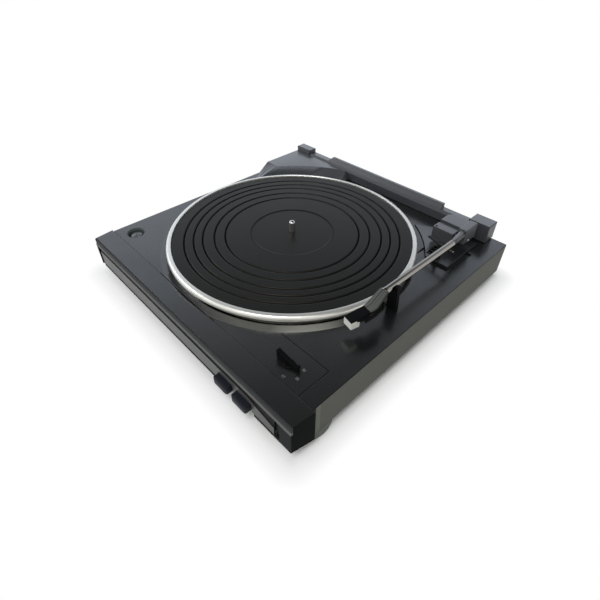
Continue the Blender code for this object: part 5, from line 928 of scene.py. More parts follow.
# %% Roll the front lip
LIP_HEIGHT = 9.8 * MM
LIP_BACK = 2.6 * MM
LIP_ROLL = 1.6 * MM
BEAD_OUT = 0.8 * MM
lip_bottom = cap_high.z - LIP_HEIGHT
lip_back = cap_low.y + LIP_BACK
cap_flare = (cap_high.x - chassis_high.x) / (cap_high.y - cap_low.y)
cap_mesh = carved(mesh_of(packed("front_cap"), "front_cap_moulding"),
                  brick((cap_low.x - 5 * MM, cap_low.y - 5 * MM, lip_bottom - 0.15 * MM),
                        (cap_high.x + 5 * MM, lip_back - 0.02 * MM, cap_high.z + 5 * MM)))
place_piece("front_cap_moulding", rounded(cap_mesh, 0.5 * MM), "base", cap_black,
            "charcoal_plastic", "front_cap")

face = cap_low.y + BEAD_OUT
roll = arc((face + LIP_ROLL, cap_high.z - LIP_ROLL), LIP_ROLL, 96, 180, 8)
bead = [(face, BEAD_TOP), (face - 0.25 * MM, BEAD_TOP - 0.25 * MM),
        (cap_low.y + 0.1 * MM, BEAD_TOP - 1.7 * MM), (cap_low.y, BEAD_TOP - 2.1 * MM),
        (cap_low.y, lip_bottom + 0.5 * MM), (cap_low.y + 0.4 * MM, lip_bottom)]
section = [(lip_back, cap_high.z)] + roll + bead + [(lip_back, lip_bottom)]
ends = []
for side in (-1, 1):
    reach = [chassis_high.x - 0.05 * MM + cap_flare * (y - cap_low.y) for y, z in section]
    ends.append([(side * x, y, z) for x, (y, z) in zip(reach, section)])
place_rounded("front_lip", loft(ends), 0.25, "base", lip_black, "charcoal_plastic", angle=50)

SEAM_REACH = (cap_high.y - 0.1 * MM, cap_high.y + 0.45 * MM)
seam_half = math.sqrt((DISH_OUTER + 3 * MM) ** 2 - (cap_high.y - platter_middle.y) ** 2)
seam_end = chassis_high.x - 1 * MM
strips = []
for left, right in ((-seam_end, platter_middle.x - seam_half),
                    (platter_middle.x + seam_half, seam_end)):
    strips.append(brick((left, SEAM_REACH[0], cap_high.z - 3 * MM),
                        (right, SEAM_REACH[1], cap_high.z - 0.12 * MM)))
place_piece("cap_seam", mesh_of(joined(*strips), "cap_seam"), "base", charcoal, "charcoal_plastic")
print("lip", round(LIP_HEIGHT / MM, 1), "mm high")

# %% [markdown]
# ## Front panel in its dark surround
#
# The grey panel is a painted strip under the lip, with two openings for the buttons. It sits in a
# black surround, which shows as a dark gap under the lip and as a thin dark edge below; the
# near-black of the surround in that gap is painted shade. Both are outlines in places along the
# front and heights, pushed back by their thickness. The strip's top edge falls away at its right
# end. Beside the corner pillar the surround stops short, which leaves a deep dark notch with a
# near-black plate at its back, painted shade, and a sill runs under the strip to the end of that
# notch.

# %% Cut the front panel
PANEL_TOP = 32.0 * MM
PANEL_FOOT = 15.0 * MM
PANEL_DEPTH = 0.7 * MM
PANEL_DROP = 7.5 * MM
PANEL_RISE = 1.0 * MM
PANEL_CORNER = 3.0 * MM
FALL_LENGTH = 36 * MM
BUTTON_GAP = 0.5 * MM
OPENING_LEFT, OPENING_RIGHT = 0.8 * MM, 1.6 * MM
BUTTONS = ("start_button", "stop_button")
outline = [(panel_low.x + 0.4 * MM, PANEL_FOOT)]
for button in BUTTONS:
    low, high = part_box(button)
    opening = high.z - BUTTON_GAP
    left, right = low.x - OPENING_LEFT, high.x - OPENING_RIGHT
    outline += [(left, PANEL_FOOT), (left, opening), (right, opening), (right, PANEL_FOOT)]
outline += [(panel_right, PANEL_FOOT), (panel_right, PANEL_TOP - PANEL_DROP),
            (panel_right - FALL_LENGTH, PANEL_TOP), (0.0, PANEL_TOP)]
corner = (panel_low.x + 0.4 * MM + PANEL_CORNER, PANEL_TOP + PANEL_RISE - PANEL_CORNER)
outline += arc(corner, PANEL_CORNER, 90, 180, 6)
strip = upright(outline, panel_low.y, panel_low.y + PANEL_DEPTH)
place_rounded("front_panel_strip", strip, 0.2, "base", paint, "grey_panel", "front_panel")

# The near-black surround paints the shade in the gap under the lip.
SURROUND_FRONT = panel_low.y + PANEL_DEPTH + 0.05 * MM
SURROUND_LOW = 10.6 * MM
NOTCH_END = 160.7 * MM
surround_left, surround_right = panel_low.x + 0.3 * MM, panel_right + 0.5 * MM
surround_top = lip_bottom - 0.2 * MM
outline = [(surround_left, SURROUND_LOW)]
for button in BUTTONS:
    low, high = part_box(button)
    left, right, opening = low.x - 0.6 * MM, high.x + 0.1 * MM, high.z + 0.2 * MM
    outline += [(left, SURROUND_LOW), (left, opening), (right, opening), (right, SURROUND_LOW)]
outline += [(surround_right, SURROUND_LOW), (surround_right, surround_top),
            (surround_left, surround_top)]
surround = upright(outline, SURROUND_FRONT, SURROUND_FRONT + 1.0 * MM)
foot_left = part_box(BUTTONS[0])[0].x - 1.0 * MM
foot_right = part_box(BUTTONS[1])[1].x + 1.0 * MM
for left, right in ((panel_low.x + 0.4 * MM, foot_left), (foot_right, NOTCH_END)):
    sill = brick((left, panel_low.y + 0.1 * MM, SURROUND_LOW),
                 (right, SURROUND_FRONT + 0.2 * MM, PANEL_FOOT - 0.1 * MM))
    surround = joined(surround, sill)
# A near-black plate at the back of the notch: painted shade.
notch_shade_plate = brick((surround_right - 0.3 * MM, SURROUND_FRONT + 1.2 * MM, SURROUND_LOW - 0.2 * MM),
                   (NOTCH_END, SURROUND_FRONT + 2.0 * MM, surround_top))
surround = joined(surround, notch_shade_plate)
place_rounded("panel_surround", surround, 0.15, "base", deep_black, "black_plastic")
print("panel strip", round((PANEL_TOP - PANEL_FOOT) / MM, 1), "mm high")

# %% [markdown]
# ## Buttons
#
# The two buttons are matt tabs that reach forward under the panel. Each is a row of soft oblong
# outlines from back to front. They shrink towards the front, which rounds every edge, and the
# middle of the front bows out. Behind are a flange and a stem.

# %% Shape the buttons
BUTTON_HALF = (10.3 * MM, 4.7 * MM)
BUTTON_SHIFT = -1.3 * MM
BUTTON_BOW = 1.6 * MM
FLANGE_BACK = 9.7 * MM
FLANGE_TRIM = 0.2 * MM
BUTTON_INSETS = [(9.0, 0.0), (1.5, 0.0), (0.8, 0.2), (0.3, 0.6), (0.05, 1.2), (0.0, 2.2),
                 (0.0, 3.2), (0.0, 4.2)]


def oblong(half_wide, half_high, radius):
    """A soft oblong round nothing, as places across and up."""
    corners = []
    for across, up, start in ((1, 1, 0), (-1, 1, 90), (-1, -1, 180), (1, -1, 270)):
        centre = (across * (half_wide - radius), up * (half_high - radius))
        corners += arc(centre, radius, start, start + 90, 5)
    return corners


for name in BUTTONS:
    low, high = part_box(name)
    place = Vector(((low.x + high.x) / 2 + BUTTON_SHIFT, low.y, (low.z + high.z) / 2))
    sections = []
    for back, inset in BUTTON_INSETS:
        half_wide, half_high = (half - inset * MM for half in BUTTON_HALF)
        outline = oblong(half_wide, half_high, max(0.15 * MM, 1.5 * MM - inset * 0.35 * MM))
        bowed = BUTTON_BOW if back < 5 else 0.0
        sections.append([place + Vector((x, back * MM + bowed * (x / BUTTON_HALF[0]) ** 2, z))
                         for x, z in outline])
    tab = loft(sections)
    flange_front = place.y + FLANGE_BACK
    flange = brick((low.x + FLANGE_TRIM, flange_front, low.z + FLANGE_TRIM),
                   (high.x - FLANGE_TRIM, flange_front + 1.4 * MM, high.z - FLANGE_TRIM))
    stem = rod((place.x, place.y + 8.8 * MM, place.z), (place.x, high.y, place.z), 1.9 * MM, 20)
    mesh = smooth(mesh_of(joined(tab, flange, stem), name + "_tab"), 40)
    place_piece(name + "_tab", mesh, name + "_unit", button_black, "black_plastic", name)
print("buttons", round(2 * BUTTON_HALF[0] / MM, 1), "mm wide")

# %% [markdown]
# ## Feet
#
# Each foot is a rubber ring with shallow flutes round its wall, a profile swung round its axis. The
# rear pair is a little narrower, since the photograph shows nothing of it beyond the side of the
# body.

# %% Turn the feet
REAR_FOOT_TRIM = 6 * MM
for node in [f"foot_{end}_{side}" for end in ("front", "rear") for side in ("left", "right")]:
    low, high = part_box(node)
    centre = (low + high) / 2
    radius = (high.x - low.x) / 2 - (REAR_FOOT_TRIM if centre.y > 0 else 0.0)
    height = high.z - low.z
    profile = [(0, high.z), (radius - 2 * MM, high.z), (radius - 0.6 * MM, high.z - 0.5 * MM),
               (radius, high.z - 1.6 * MM)]
    for band in range(3):
        top = high.z - (0.25 + 0.2 * band) * height
        groove = radius - 0.5 * MM
        profile += [(radius, top), (groove, top - 0.3 * MM), (groove, top - 0.7 * MM),
                    (radius, top - 1.0 * MM)]
    profile += [(radius - 0.4 * MM, low.z + 0.6 * MM), (radius - 1.4 * MM, low.z),
                (radius - 9 * MM, low.z), (radius - 9.6 * MM, low.z + 0.8 * MM),
                (0, low.z + 0.8 * MM)]
    mesh = smooth(mesh_of(turned(profile, centre, 120), node + "_rubber"), 40)
    place_piece(node + "_rubber", mesh, "base", foot_rubber, "foot_rubber", node)
print("feet turned")

# %% [markdown]
# ## Platter
#
# The platter is a die casting whose rim has been turned bright. Its rim is a level crest, a slope
# that rolls outwards and throws white glints, and a lip whose underside stays dark over a skirt
# that goes down into the dish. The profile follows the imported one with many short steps, so that
# the glints run round without corners.

# %% Turn the platter
rim_low, rim_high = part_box("platter")
rim_radius = (rim_high.x - rim_low.x) / 2
BELT_RIM = (88.4 * MM, 90 * MM)
HUB_RADIUS = 16 * MM
CASTING_WALL = 2.5 * MM
crest = rim_high.z
mat_low, mat_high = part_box("platter_mat")
mat_radius = (mat_high.x - mat_low.x) / 2
recess = mat_radius + 0.4 * MM
web_top = mat_low.z - 0.3 * MM
spindle_low, spindle_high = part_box("spindle")
spindle_radius = (spindle_high.x - spindle_low.x) / 2

ROLL_PLACES = [(-4.6, -0.02), (-3.4, -0.14), (-2.4, -0.38), (-1.6, -0.78), (-1.0, -1.35),
               (-0.6, -2.1), (-0.3, -3.0), (-0.12, -3.9), (-0.05, -4.6), (-0.05, -5.3),
               (-0.35, -5.65), (-0.9, -5.8)]
bore = spindle_radius + 0.3 * MM
profile = [(bore, web_top), (recess, web_top), (recess, crest - 0.3 * MM),
           (recess + 0.3 * MM, crest)]
profile += [(rim_radius + out * MM, crest + up * MM) for out, up in ROLL_PLACES]
profile += [(rim_radius - 6.6 * MM, crest - 5.8 * MM), (rim_radius - 7.0 * MM, crest - 6.3 * MM),
            (rim_radius - 10.3 * MM, rim_low.z + 0.4 * MM), (rim_radius - 10.8 * MM, rim_low.z),
            (rim_radius - 12.4 * MM, rim_low.z), (rim_radius - 9.6 * MM, web_top - CASTING_WALL),
            (bore, web_top - CASTING_WALL)]
mesh = smooth(mesh_of(turned(profile, platter_middle, 320, ring=True), "platter_casting"), 32)
under = web_top - CASTING_WALL + 0.1 * MM
inner, outer = BELT_RIM
profile = [(inner, under), (outer, under), (outer, crest - 15 * MM),
           (outer - 0.4 * MM, crest - 15.4 * MM), (inner, crest - 15.4 * MM)]
belt_rim = turned(profile, platter_middle, 200, ring=True)
profile = [(bore, under), (HUB_RADIUS, under), (HUB_RADIUS - 0.4 * MM, crest - 16.8 * MM),
           (bore, crest - 16.8 * MM)]
hub = turned(profile, platter_middle, 80, ring=True)
whole = bmesh.new()
whole.from_mesh(mesh)
mesh = smooth(mesh_of(joined(whole, belt_rim, hub), "platter_casting"), 32)
place_piece("platter_casting", mesh, "platter_unit", platter_metal, "aluminium", "platter")
print("platter rim", round(rim_radius / MM, 1), "mm")

# %% [markdown]
# ## Mat
#
# The rubber mat is a disc whose height depends on the distance from the spindle alone: five deep
# grooves, a sunken place for the label and a soft outer edge. Such a rule suits Geometry Nodes. A
# grid of rings and steps is bent into a disc, and the sum of the grooves lowers it. A second, small
# grid closes the outer wall, the underside and the hole.

# %% Grow the mat
GROOVE_SHARES = [0.562, 0.652, 0.748, 0.822, 0.899]
GROOVE_HALF = 1.6 * MM
LABEL_RADIUS = 49 * MM
LABEL_LINE = 0.9 * MM
EDGE_FALL = 0.7


def groove_shade(finish):
    """Painted shade: 1 in the grooves and on the line round the label, where the mat is darker."""
    radius = finish.from_axis(platter_middle)
    mask = 1 - abs(radius - LABEL_RADIUS).share_of(LABEL_LINE)
    for share in GROOVE_SHARES:
        mask = mask + (1 - abs(radius - mat_radius * share).share_of(GROOVE_HALF))
    return (mask * 1.6).share_of(1.0)


# The mat's grooves and label line are painted darker: painted shade.
mat_rubber = soft_rubber("mat_rubber", shade_of(20, 20, 18), 0.34, groove_shade)
sizes = {"Rings": 290, "Steps": 230, "Hole radius": spindle_radius + 0.4 * MM,
         "Outer radius": mat_radius, "Label radius": LABEL_RADIUS, "Label drop": 0.5 * MM,
         "Top": mat_high.z, "Bottom": mat_low.z, "Groove depth": 2.2 * MM,
         "Groove half width": GROOVE_HALF, "Edge": 0.9 * MM}
for number, share in enumerate(GROOVE_SHARES, 1):
    sizes[f"Groove {number}"] = mat_radius * share
mat = Growth("mat_rule", sizes)
hole, outer = mat.size("Hole radius"), mat.size("Outer radius")
top, bottom = mat.size("Top"), mat.size("Bottom")
along, round_about = mat.parts_of(mat.add("GeometryNodeInputPosition").outputs[0])[:2]


def grid_of(rings):
    """A flat square grid, from as many rings and the steps of the mat."""
    sockets = {"Size X": 1.0, "Size Y": 1.0, "Vertices X": rings, "Vertices Y": mat.size("Steps")}
    return mat.add("GeometryNodeMeshGrid", {}, sockets).outputs[0]


def round_place(radius, height):
    """The place on a ring, for a height."""
    turn = (round_about + 0.5) * (2 * math.pi)
    cosine, sine = (Wire(mat, mat.add("ShaderNodeMath", {"operation": wave}, {0: turn}).outputs[0])
                    for wave in ("COSINE", "SINE"))
    return mat.vector(cosine * radius + platter_middle.x, sine * radius + platter_middle.y, height)


def soft_step(share):
    """A share that starts and ends gently."""
    return share * share * (3 - share * 2)


radius = hole + (outer - hole) * (along + 0.5)
inside_label = (mat.size("Label radius") - radius).share_of(mat.size("Groove half width"))
sunk = soft_step(inside_label) * mat.size("Label drop")
edge = (radius - (outer - mat.size("Edge"))).share_of(mat.size("Edge"))
sunk = sunk + edge * edge * mat.size("Edge") * EDGE_FALL
for number in range(1, len(GROOVE_SHARES) + 1):
    near = 1 - abs(radius - mat.size(f"Groove {number}")).share_of(mat.size("Groove half width"))
    sunk = sunk + soft_step(near) * mat.size("Groove depth")
upper = mat.placed(grid_of(mat.size("Rings")), round_place(radius, top - sunk))
outward = along < 0
inside = (along > -0.4) * (along < 0.4)
rim_height = top - mat.size("Edge") * EDGE_FALL
hole_height = top - mat.size("Label drop")
wall_radius = hole + (outer - hole) * outward
wall_height = bottom * inside + (rim_height * outward + hole_height * (1 - outward)) * (1 - inside)
lower = mat.placed(grid_of(4), round_place(wall_radius, wall_height))
both = mat.add("GeometryNodeJoinGeometry", {}, {0: [upper, lower]})
sockets = {"Geometry": both.outputs[0], "Distance": 0.02 * MM}
closed = mat.add("GeometryNodeMergeByDistance", {}, sockets)
mesh = mat.grow(closed.outputs[0], mat_rubber, [(0, 0, 0)])
shape = bmesh.new()
shape.from_mesh(mesh)
open_edges = sum(1 for edge in shape.edges if len(edge.link_faces) != 2)
mesh = smooth(mesh_of(shape, "mat_sheet"), 50)
place_piece("mat_sheet", mesh, "platter_unit", mat_rubber, "mat_rubber", "platter_mat")
print("mat grown:", len(mesh.polygons), "faces,", open_edges, "open edges")

# %% [markdown]
# ## Spindle
#
# The spindle is a ground steel pin with a domed tip.

# %% Turn the spindle
DOME_HEIGHT = 2.6 * MM
DOME_STEPS = 8
profile = [(0, spindle_high.z)]
for step in range(1, DOME_STEPS + 1):
    turn = math.pi / 2 * step / DOME_STEPS
    fall = DOME_HEIGHT * (1 - math.cos(turn))
    profile.append((spindle_radius * math.sin(turn), spindle_high.z - fall))
profile += [(spindle_radius, spindle_low.z), (0, spindle_low.z)]
mesh = smooth(mesh_of(turned(profile, platter_middle, 48), "spindle_pin"), 40)
place_piece("spindle_pin", mesh, "platter_unit", bright_steel, "steel", "spindle")
print("spindle tip at", round(spindle_high.z / MM, 1), "mm")

# %% [markdown]
# ## Record size lever
#
# The lever is a thin black fin on a round base, high at its grip and low at its pointer, which ends
# in a small upright prong. Three ribs give the thumb a hold. The fin is drawn flat, pushed to its
# thickness and turned to the lever's heading, and Geometry Nodes repeats the ribs.

# %% Make the size lever
lever_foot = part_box("size_lever")[0].z
LEVER_PLACE = Vector((128.0 * MM, -130.75 * MM, 0.0))
LEVER_HEADING = math.radians(5)
GRIP_END = -13.4
LEVER_FIN = [(GRIP_END, 0.9), (11.3, 0.9), (11.4, 5.8), (10.4, 6.2), (9.6, 3.9), (6.0, 4.4),
             (-12.8, 10.5), (GRIP_END, 10.1)]
FIN_HALF = 2.0 * MM
LEVER_BASE = [(0, 1.5), (4.6, 1.4), (5.3, 0.9), (5.5, 0.3), (0, 0.3)]
RIB_RISE = 5.4 * MM
RIB_APART = 2.3 * MM


def on_lever(along, across, up):
    """A place on the lever, from its axis along its heading, in metres above the deck."""
    turn = Matrix.Rotation(LEVER_HEADING, 3, "Z")
    return LEVER_PLACE + turn @ Vector((along, across, 0)) + Vector((0, 0, DECK + up))


fin = loft([[on_lever(x * MM, side * FIN_HALF, z * MM) for x, z in LEVER_FIN] for side in (-1, 1)])
base_profile = [(radius * MM, DECK + height * MM) for radius, height in LEVER_BASE]
shaft = [(0, DECK + 0.4 * MM), (2.4 * MM, DECK + 0.4 * MM), (2.4 * MM, lever_foot + 1.5 * MM),
         (4.0 * MM, lever_foot + 1.5 * MM), (4.0 * MM, lever_foot), (0, lever_foot)]
body = joined(turned(base_profile, LEVER_PLACE, 64), turned(shaft, LEVER_PLACE, 32), fin)
place_rounded("size_lever_fin", body, 0.35, "size_lever_unit", deep_black, "black_plastic",
              "size_lever")

ribs = rib_field("grip_ribs", (3.2, 0.9, 0.7, 0.25), deep_black, 3, RIB_APART)
stand = Matrix.Translation(on_lever(GRIP_END * MM, 0, RIB_RISE))
for turn, way in ((LEVER_HEADING, "Z"), (math.radians(-90), "Y"), (math.radians(90), "Z")):
    stand = stand @ Matrix.Rotation(turn, 4, way)
ribs.transform(stand)
place_piece("size_lever_ribs", ribs, "size_lever_unit", deep_black, "black_plastic")
print("lever ribs:", len(ribs.polygons), "faces")

# %% [markdown]
# ## Printed sizes
#
# Three small pale numbers, the common record sizes in centimetres, stand round the pointer. Text
# becomes a thin mesh laid on the panel, because a mesh keeps its place in every view and export.

# %% Print the sizes
NUMBERS = [("30", 141.5, -126.2), ("25", 144.0, -136.5), ("17", 133.8, -143.4)]
NUMBER_HEIGHT = 3.6 * MM
INK = 0.05 * MM
numbers = bmesh.new()
for text, x, y in NUMBERS:
    letters = bpy.data.curves.new("number", "FONT")
    letters.body = text
    letters.size = NUMBER_HEIGHT
    letters.extrude = INK / 2
    letters.align_x = "CENTER"
    letters.align_y = "CENTER"
    flat = taken(held(letters))
    flat.transform(Matrix.Translation((x * MM, y * MM, DECK + INK / 2)))
    numbers.from_mesh(flat)
bmesh.ops.remove_doubles(numbers, verts=numbers.verts, dist=0.001 * MM)
place_piece("size_numbers", mesh_of(numbers, "size_numbers"), "base", mark_ink, "white_plastic")
print("numbers", [number[0] for number in NUMBERS])

# %% [markdown]
# ## Arm tube
#
# A straight plated tube runs from the holder to the headshell.

# %% Draw the tube
tube_low, tube_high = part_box("arm_tube")
tube_radius = (tube_high.z - tube_low.z) / 2
tube_height = middle("arm_tube").z
tube_front = Vector((tube_low.x + tube_radius, tube_low.y, tube_height))
tube_rear = Vector((tube_high.x - tube_radius, tube_high.y, tube_height))
tube = rod(tube_front, tube_rear, tube_radius, 64)
place_rounded("tube", tube, 0.3, "arm_unit", tube_plate, "tube_chrome", "arm_tube")
print("tube", round((tube_rear - tube_front).length / MM, 1), "mm long")

# %% [markdown]
# ## Headshell
#
# The headshell is a grey moulding that starts round at the tube, widens and gets flat, with two
# raised ridges along its top that catch the light. It carries the black cartridge at an angle. Its
# form is a row of sections along a bent centre line, a little wider at the tube than the packed
# solid.

# %% Loft the headshell
OFFSET = math.radians(13)
WIDE_AT = 22 * MM
WIDE_SHIFT = 3 * MM
SHELL_GAP = 0.3 * MM


def on_shell(along, across, height):
    """A place on the head: along it from the tube's end, square to it, and up from the table."""
    straight = min(along, WIDE_AT)
    beyond = along - straight
    turn = OFFSET if along > WIDE_AT else 0.0
    x = tube_front.x + WIDE_SHIFT * straight / WIDE_AT - beyond * math.sin(OFFSET)
    y = tube_front.y - SHELL_GAP - straight - beyond * math.cos(OFFSET)
    return Vector((x + across * math.cos(turn), y - across * math.sin(turn), height))


SHELL_STATIONS = [(0.0, 4.3, -2.9, 2.0), (3.0, 4.9, -3.4, 1.9), (9.0, 5.4, -4.3, 0.9),
                  (16.0, 5.8, -4.8, -0.6), (21.0, 6.0, -5.0, -2.0), (24.0, 6.0, -5.2, -2.7),
                  (28.0, 5.5, -5.6, -3.6)]
SHELL_TOP = [(1.0, -0.15), (0.80, 0.35), (0.55, 0.75), (0.32, 0.75), (0.20, 0.25), (-0.20, 0.25),
             (-0.32, 0.75), (-0.55, 0.75), (-0.80, 0.35), (-1.0, -0.15)]
SHELL_UNDER = [(-1.0, 0.6), (-0.85, 0.0), (0.85, 0.0), (1.0, 0.6)]
sections = []
for along, half, low, high in SHELL_STATIONS:
    outline = [(share, low + up) for share, up in SHELL_UNDER]
    outline += [(share, high + up) for share, up in SHELL_TOP]
    sections.append([on_shell(along * MM, share * half * MM, tube_height + up * MM)
                     for share, up in outline])
mesh = place_rounded("headshell_form", loft(sections), 0.25, "arm_unit", shell_grey,
                     "charcoal_plastic", segments=2, angle=30)
print("headshell", len(mesh.polygons), "faces")

# %% [markdown]
# ## Cartridge
#
# The cartridge is the black block at the front of the head. Its upper part is a cap as wide as the
# head, and its lower part is narrower, so that the white guard fits round it. One section with a
# step, lofted along the front of the head, makes both.

# %% Make the cartridge
CARTRIDGE_STATIONS = [(26.6, 74.5), (36.0, 73.9), (47.5, 72.9), (48.7, 72.3)]
CARTRIDGE_FOOT = 65.5
CAP_HALF, LOW_HALF = 5.45, 4.5
CAP_DEEP, CAP_EDGE = 2.6, 0.7
sections = []
for along, top in CARTRIDGE_STATIONS:
    seat = top - CAP_DEEP
    right = [(LOW_HALF, CARTRIDGE_FOOT), (LOW_HALF, seat), (CAP_HALF, seat),
             (CAP_HALF, top - CAP_EDGE), (CAP_HALF - CAP_EDGE, top)]
    left = [(-across, up) for across, up in reversed(right)]
    outline = left[-1:] + right + left[:-1]
    sections.append([on_shell(along * MM, across * MM, up * MM) for across, up in outline])
place_rounded("cartridge_block", loft(sections), 0.3, "arm_unit", deep_black, "black_plastic",
              "headshell", "cartridge")
print("cartridge top", CARTRIDGE_STATIONS[0][1], "mm")

# %% [markdown]
# ## Stylus guard
#
# The guard is a white hood open at the back. Its side walls step down behind the stylus, which
# leaves room for the fingers of the hand that pulls it off. Two blocks carve the steps.

# %% Step the stylus guard
STEP_CORNERS = [(38.6, 7.5), (42.4, 7.5), (42.4, 3.0), (38.6, 3.0)]
STEP_LEVELS = (68.0 * MM, 74 * MM)
steps = []
for side in (-1, 1):
    outline = [on_shell(along * MM, side * across * MM, 0).to_2d()
               for along, across in STEP_CORNERS]
    steps.append(slab(outline, *STEP_LEVELS))
mesh = rounded(carved(mesh_of(packed("stylus_guard"), "guard_copy"), *steps), 0.22 * MM)
place_piece("stylus_guard_hood", mesh, "guard_unit", soft_white, "white_plastic", "stylus_guard")
print("guard faces", len(mesh.polygons))

# %% [markdown]
# ## Small fittings of the arm
#
# The tube enters the headshell through a slotted collar. The cueing bar has a pale cap on the end
# beside the holder, and the pivot pin shows its bright slotted end in the side of the holder.

# %% Fit the collar, the bar cap and the pin end
COLLAR_DROP, COLLAR_WALL = 0.45 * MM, 0.42 * MM
COLLAR_FRONT, COLLAR_REAR = 2.2 * MM, 4.6 * MM
BAR_LEAN = math.radians(-13.7)
PIN_RADIUS = 1.7 * MM
axis = (tube_front - tube_rear).normalized()
collar_end = tube_front - Vector((0, 0, COLLAR_DROP))
collar = rod(collar_end + axis * COLLAR_FRONT, collar_end - axis * COLLAR_REAR,
             tube_radius + COLLAR_WALL, 48)
mesh = rounded(mesh_of(collar, "head_collar"), 0.3 * MM)
slot_at = tube_front - axis * 1.9 * MM
slot = brick((slot_at.x - 2.6 * MM, slot_at.y - 0.55 * MM, tube_height + 2.4 * MM),
             (slot_at.x + 2.6 * MM, slot_at.y + 0.55 * MM, tube_height + 6 * MM))
place_piece("head_collar", carved(mesh, slot), "arm_unit", tube_plate, "tube_chrome")

bar_low, bar_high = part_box("lift_bar")
bar_end = Vector((bar_high.x - 1.0 * MM, bar_low.y + 1.9 * MM, bar_high.z - 1.25 * MM))
lean = Vector((math.cos(BAR_LEAN), math.sin(BAR_LEAN), 0))
cap = rod(bar_end - lean * 3.4 * MM, bar_end + lean * 0.3 * MM, 1.65 * MM, 28)
place_rounded("lift_bar_cap", cap, 0.3, "lift_unit", pale_brass, "brass")

pin_middle = middle("pivot_pin")
pin_end = Vector((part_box("arm_holder")[1].x - 0.05 * MM, pin_middle.y, pin_middle.z))
head = rod(pin_end - Vector((1.2 * MM, 0, 0)), pin_end, PIN_RADIUS, 32)
groove = brick(pin_end + Vector((-0.5, -2, -0.3)) * MM, pin_end + Vector((1, 2, 0.3)) * MM)
mesh = carved(rounded(mesh_of(head, "pin_head"), 0.15 * MM), groove)
place_piece("pivot_pin_head", mesh, "arm_unit", bright_steel, "steel")
print("collar, bar cap and pin end fitted")

# %% [markdown]
# ## Finger lift and arm rest
#
# The finger lift is a black rod that leaves the neck of the head and runs beside the cartridge. Its
# three stretches are tapered rods with their ends inside one another. The rest is a black bracket:
# a web under the tube, a ledge on it and a thin blade that stands beside the tube.

# %% Bend the finger lift and cut the rest
LIFT_PATH = [((150.3, -32.5, 74.6), 1.2), ((153.9, -37.5, 73.2), 1.5), ((153.6, -49.0, 71.8), 1.6),
             ((152.2, -60.0, 70.4), 1.3)]
stretches = []
for (start, first), (end, second) in zip(LIFT_PATH, LIFT_PATH[1:]):
    start, end = Vector(start) * MM, Vector(end) * MM
    overlap = (end - start).normalized() * 0.7 * MM
    stretches.append(rod(start - overlap, end + overlap, first * MM, 24, second * MM))
place_rounded("finger_lift_rod", joined(*stretches), 0.45, "arm_unit", deep_black,
              "black_plastic", "finger_lift", angle=50)

rest_low, rest_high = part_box("arm_rest")
rest_middle = (rest_low.y + rest_high.y) / 2
ledge = tube_height - tube_radius - 0.35 * MM
TUBE_SIDE = 147.1 * MM
BLADE_FOOT = (149.2 * MM, 152.4 * MM)
BLADE_TIP = 150.4 * MM
WEB_FOOT = 150.6 * MM
shelf_end, shelf_foot, web_end = TUBE_SIDE + 1.0 * MM, ledge - 3.6 * MM, ledge - 1.0 * MM
blade = [(BLADE_FOOT[0], rest_low.z), (BLADE_FOOT[1], rest_low.z), (BLADE_TIP, rest_high.z),
         (TUBE_SIDE, rest_high.z), (TUBE_SIDE, ledge)]
web = [(rest_low.x + 1.0 * MM, rest_low.z), (WEB_FOOT, rest_low.z), (TUBE_SIDE + 0.6 * MM, web_end),
       (rest_low.x + 0.2 * MM, web_end)]
shelf = [(rest_low.x, shelf_foot), (shelf_end, shelf_foot), (shelf_end, ledge), (rest_low.x, ledge)]
parts = [upright(outline, rest_middle - half * MM, rest_middle + half * MM)
         for outline, half in ((blade, 2.3), (web, 1.6), (shelf, 2.2))]
place_rounded("arm_rest_bracket", joined(*parts), 0.3, "base", deep_black, "black_plastic",
              "arm_rest")
print("rest", round((rest_high.z - rest_low.z) / MM, 1), "mm high")

# %% [markdown]
# ## Screws
#
# Four screws hold the pan. They have domed heads with a cross recess. One tree makes the screw from
# a tapered head, two blocks that cut the recess and a shank, and sets it at each place.

# %% Grow the screws
SCREWS = [f"base_screw_{end}_{side}" for end in ("front", "rear") for side in ("left", "right")]
screw_low, screw_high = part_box(SCREWS[0])
pan_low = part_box("base_pan")[0]
head_radius = (screw_high.x - screw_low.x) / 2
head_height = pan_low.z - 0.05 * MM - screw_low.z
sizes = {"Head radius": head_radius, "Head height": head_height, "Shank radius": head_radius * 0.42,
         "Length": screw_high.z - screw_low.z, "Recess length": head_radius * 1.2,
         "Recess width": head_radius * 0.24, "Recess depth": head_height * 1.2}
screw = Growth("pan_screws", sizes)
sockets = {"Vertices": 28, "Radius Top": screw.size("Head radius"),
           "Radius Bottom": screw.size("Head radius") * 0.78, "Depth": screw.size("Head height")}
cone = screw.add("GeometryNodeMeshCone", {}, sockets)
blades = []
for long_way, wide_way in (("Recess length", "Recess width"), ("Recess width", "Recess length")):
    size = screw.vector(screw.size(long_way), screw.size(wide_way), screw.size("Recess depth"))
    blades.append(screw.add("GeometryNodeMeshCube", {}, {"Size": size}).outputs[0])
recessed = screw.add("GeometryNodeMeshBoolean", {"operation": "DIFFERENCE", "solver": "EXACT"},
                     {"Mesh 1": cone.outputs[0], "Mesh 2": blades})
shank_length = screw.size("Length") - screw.size("Head height")
sockets = {"Vertices": 16, "Radius": screw.size("Shank radius"), "Depth": shank_length}
shank = screw.add("GeometryNodeMeshCylinder", {}, sockets)
shank_height = screw.size("Head height") + shank_length * 0.5
raised = screw.moved(shank.outputs[0], screw.vector(0.0, 0.0, shank_height))
one = screw.add("GeometryNodeJoinGeometry", {}, {0: [recessed.outputs[0], raised]})
places = [(*middle(node).to_2d(), screw_low.z) for node in SCREWS]
mesh = smooth(screw.grow(screw.at_places(one.outputs[0]), bright_steel, places), 35)
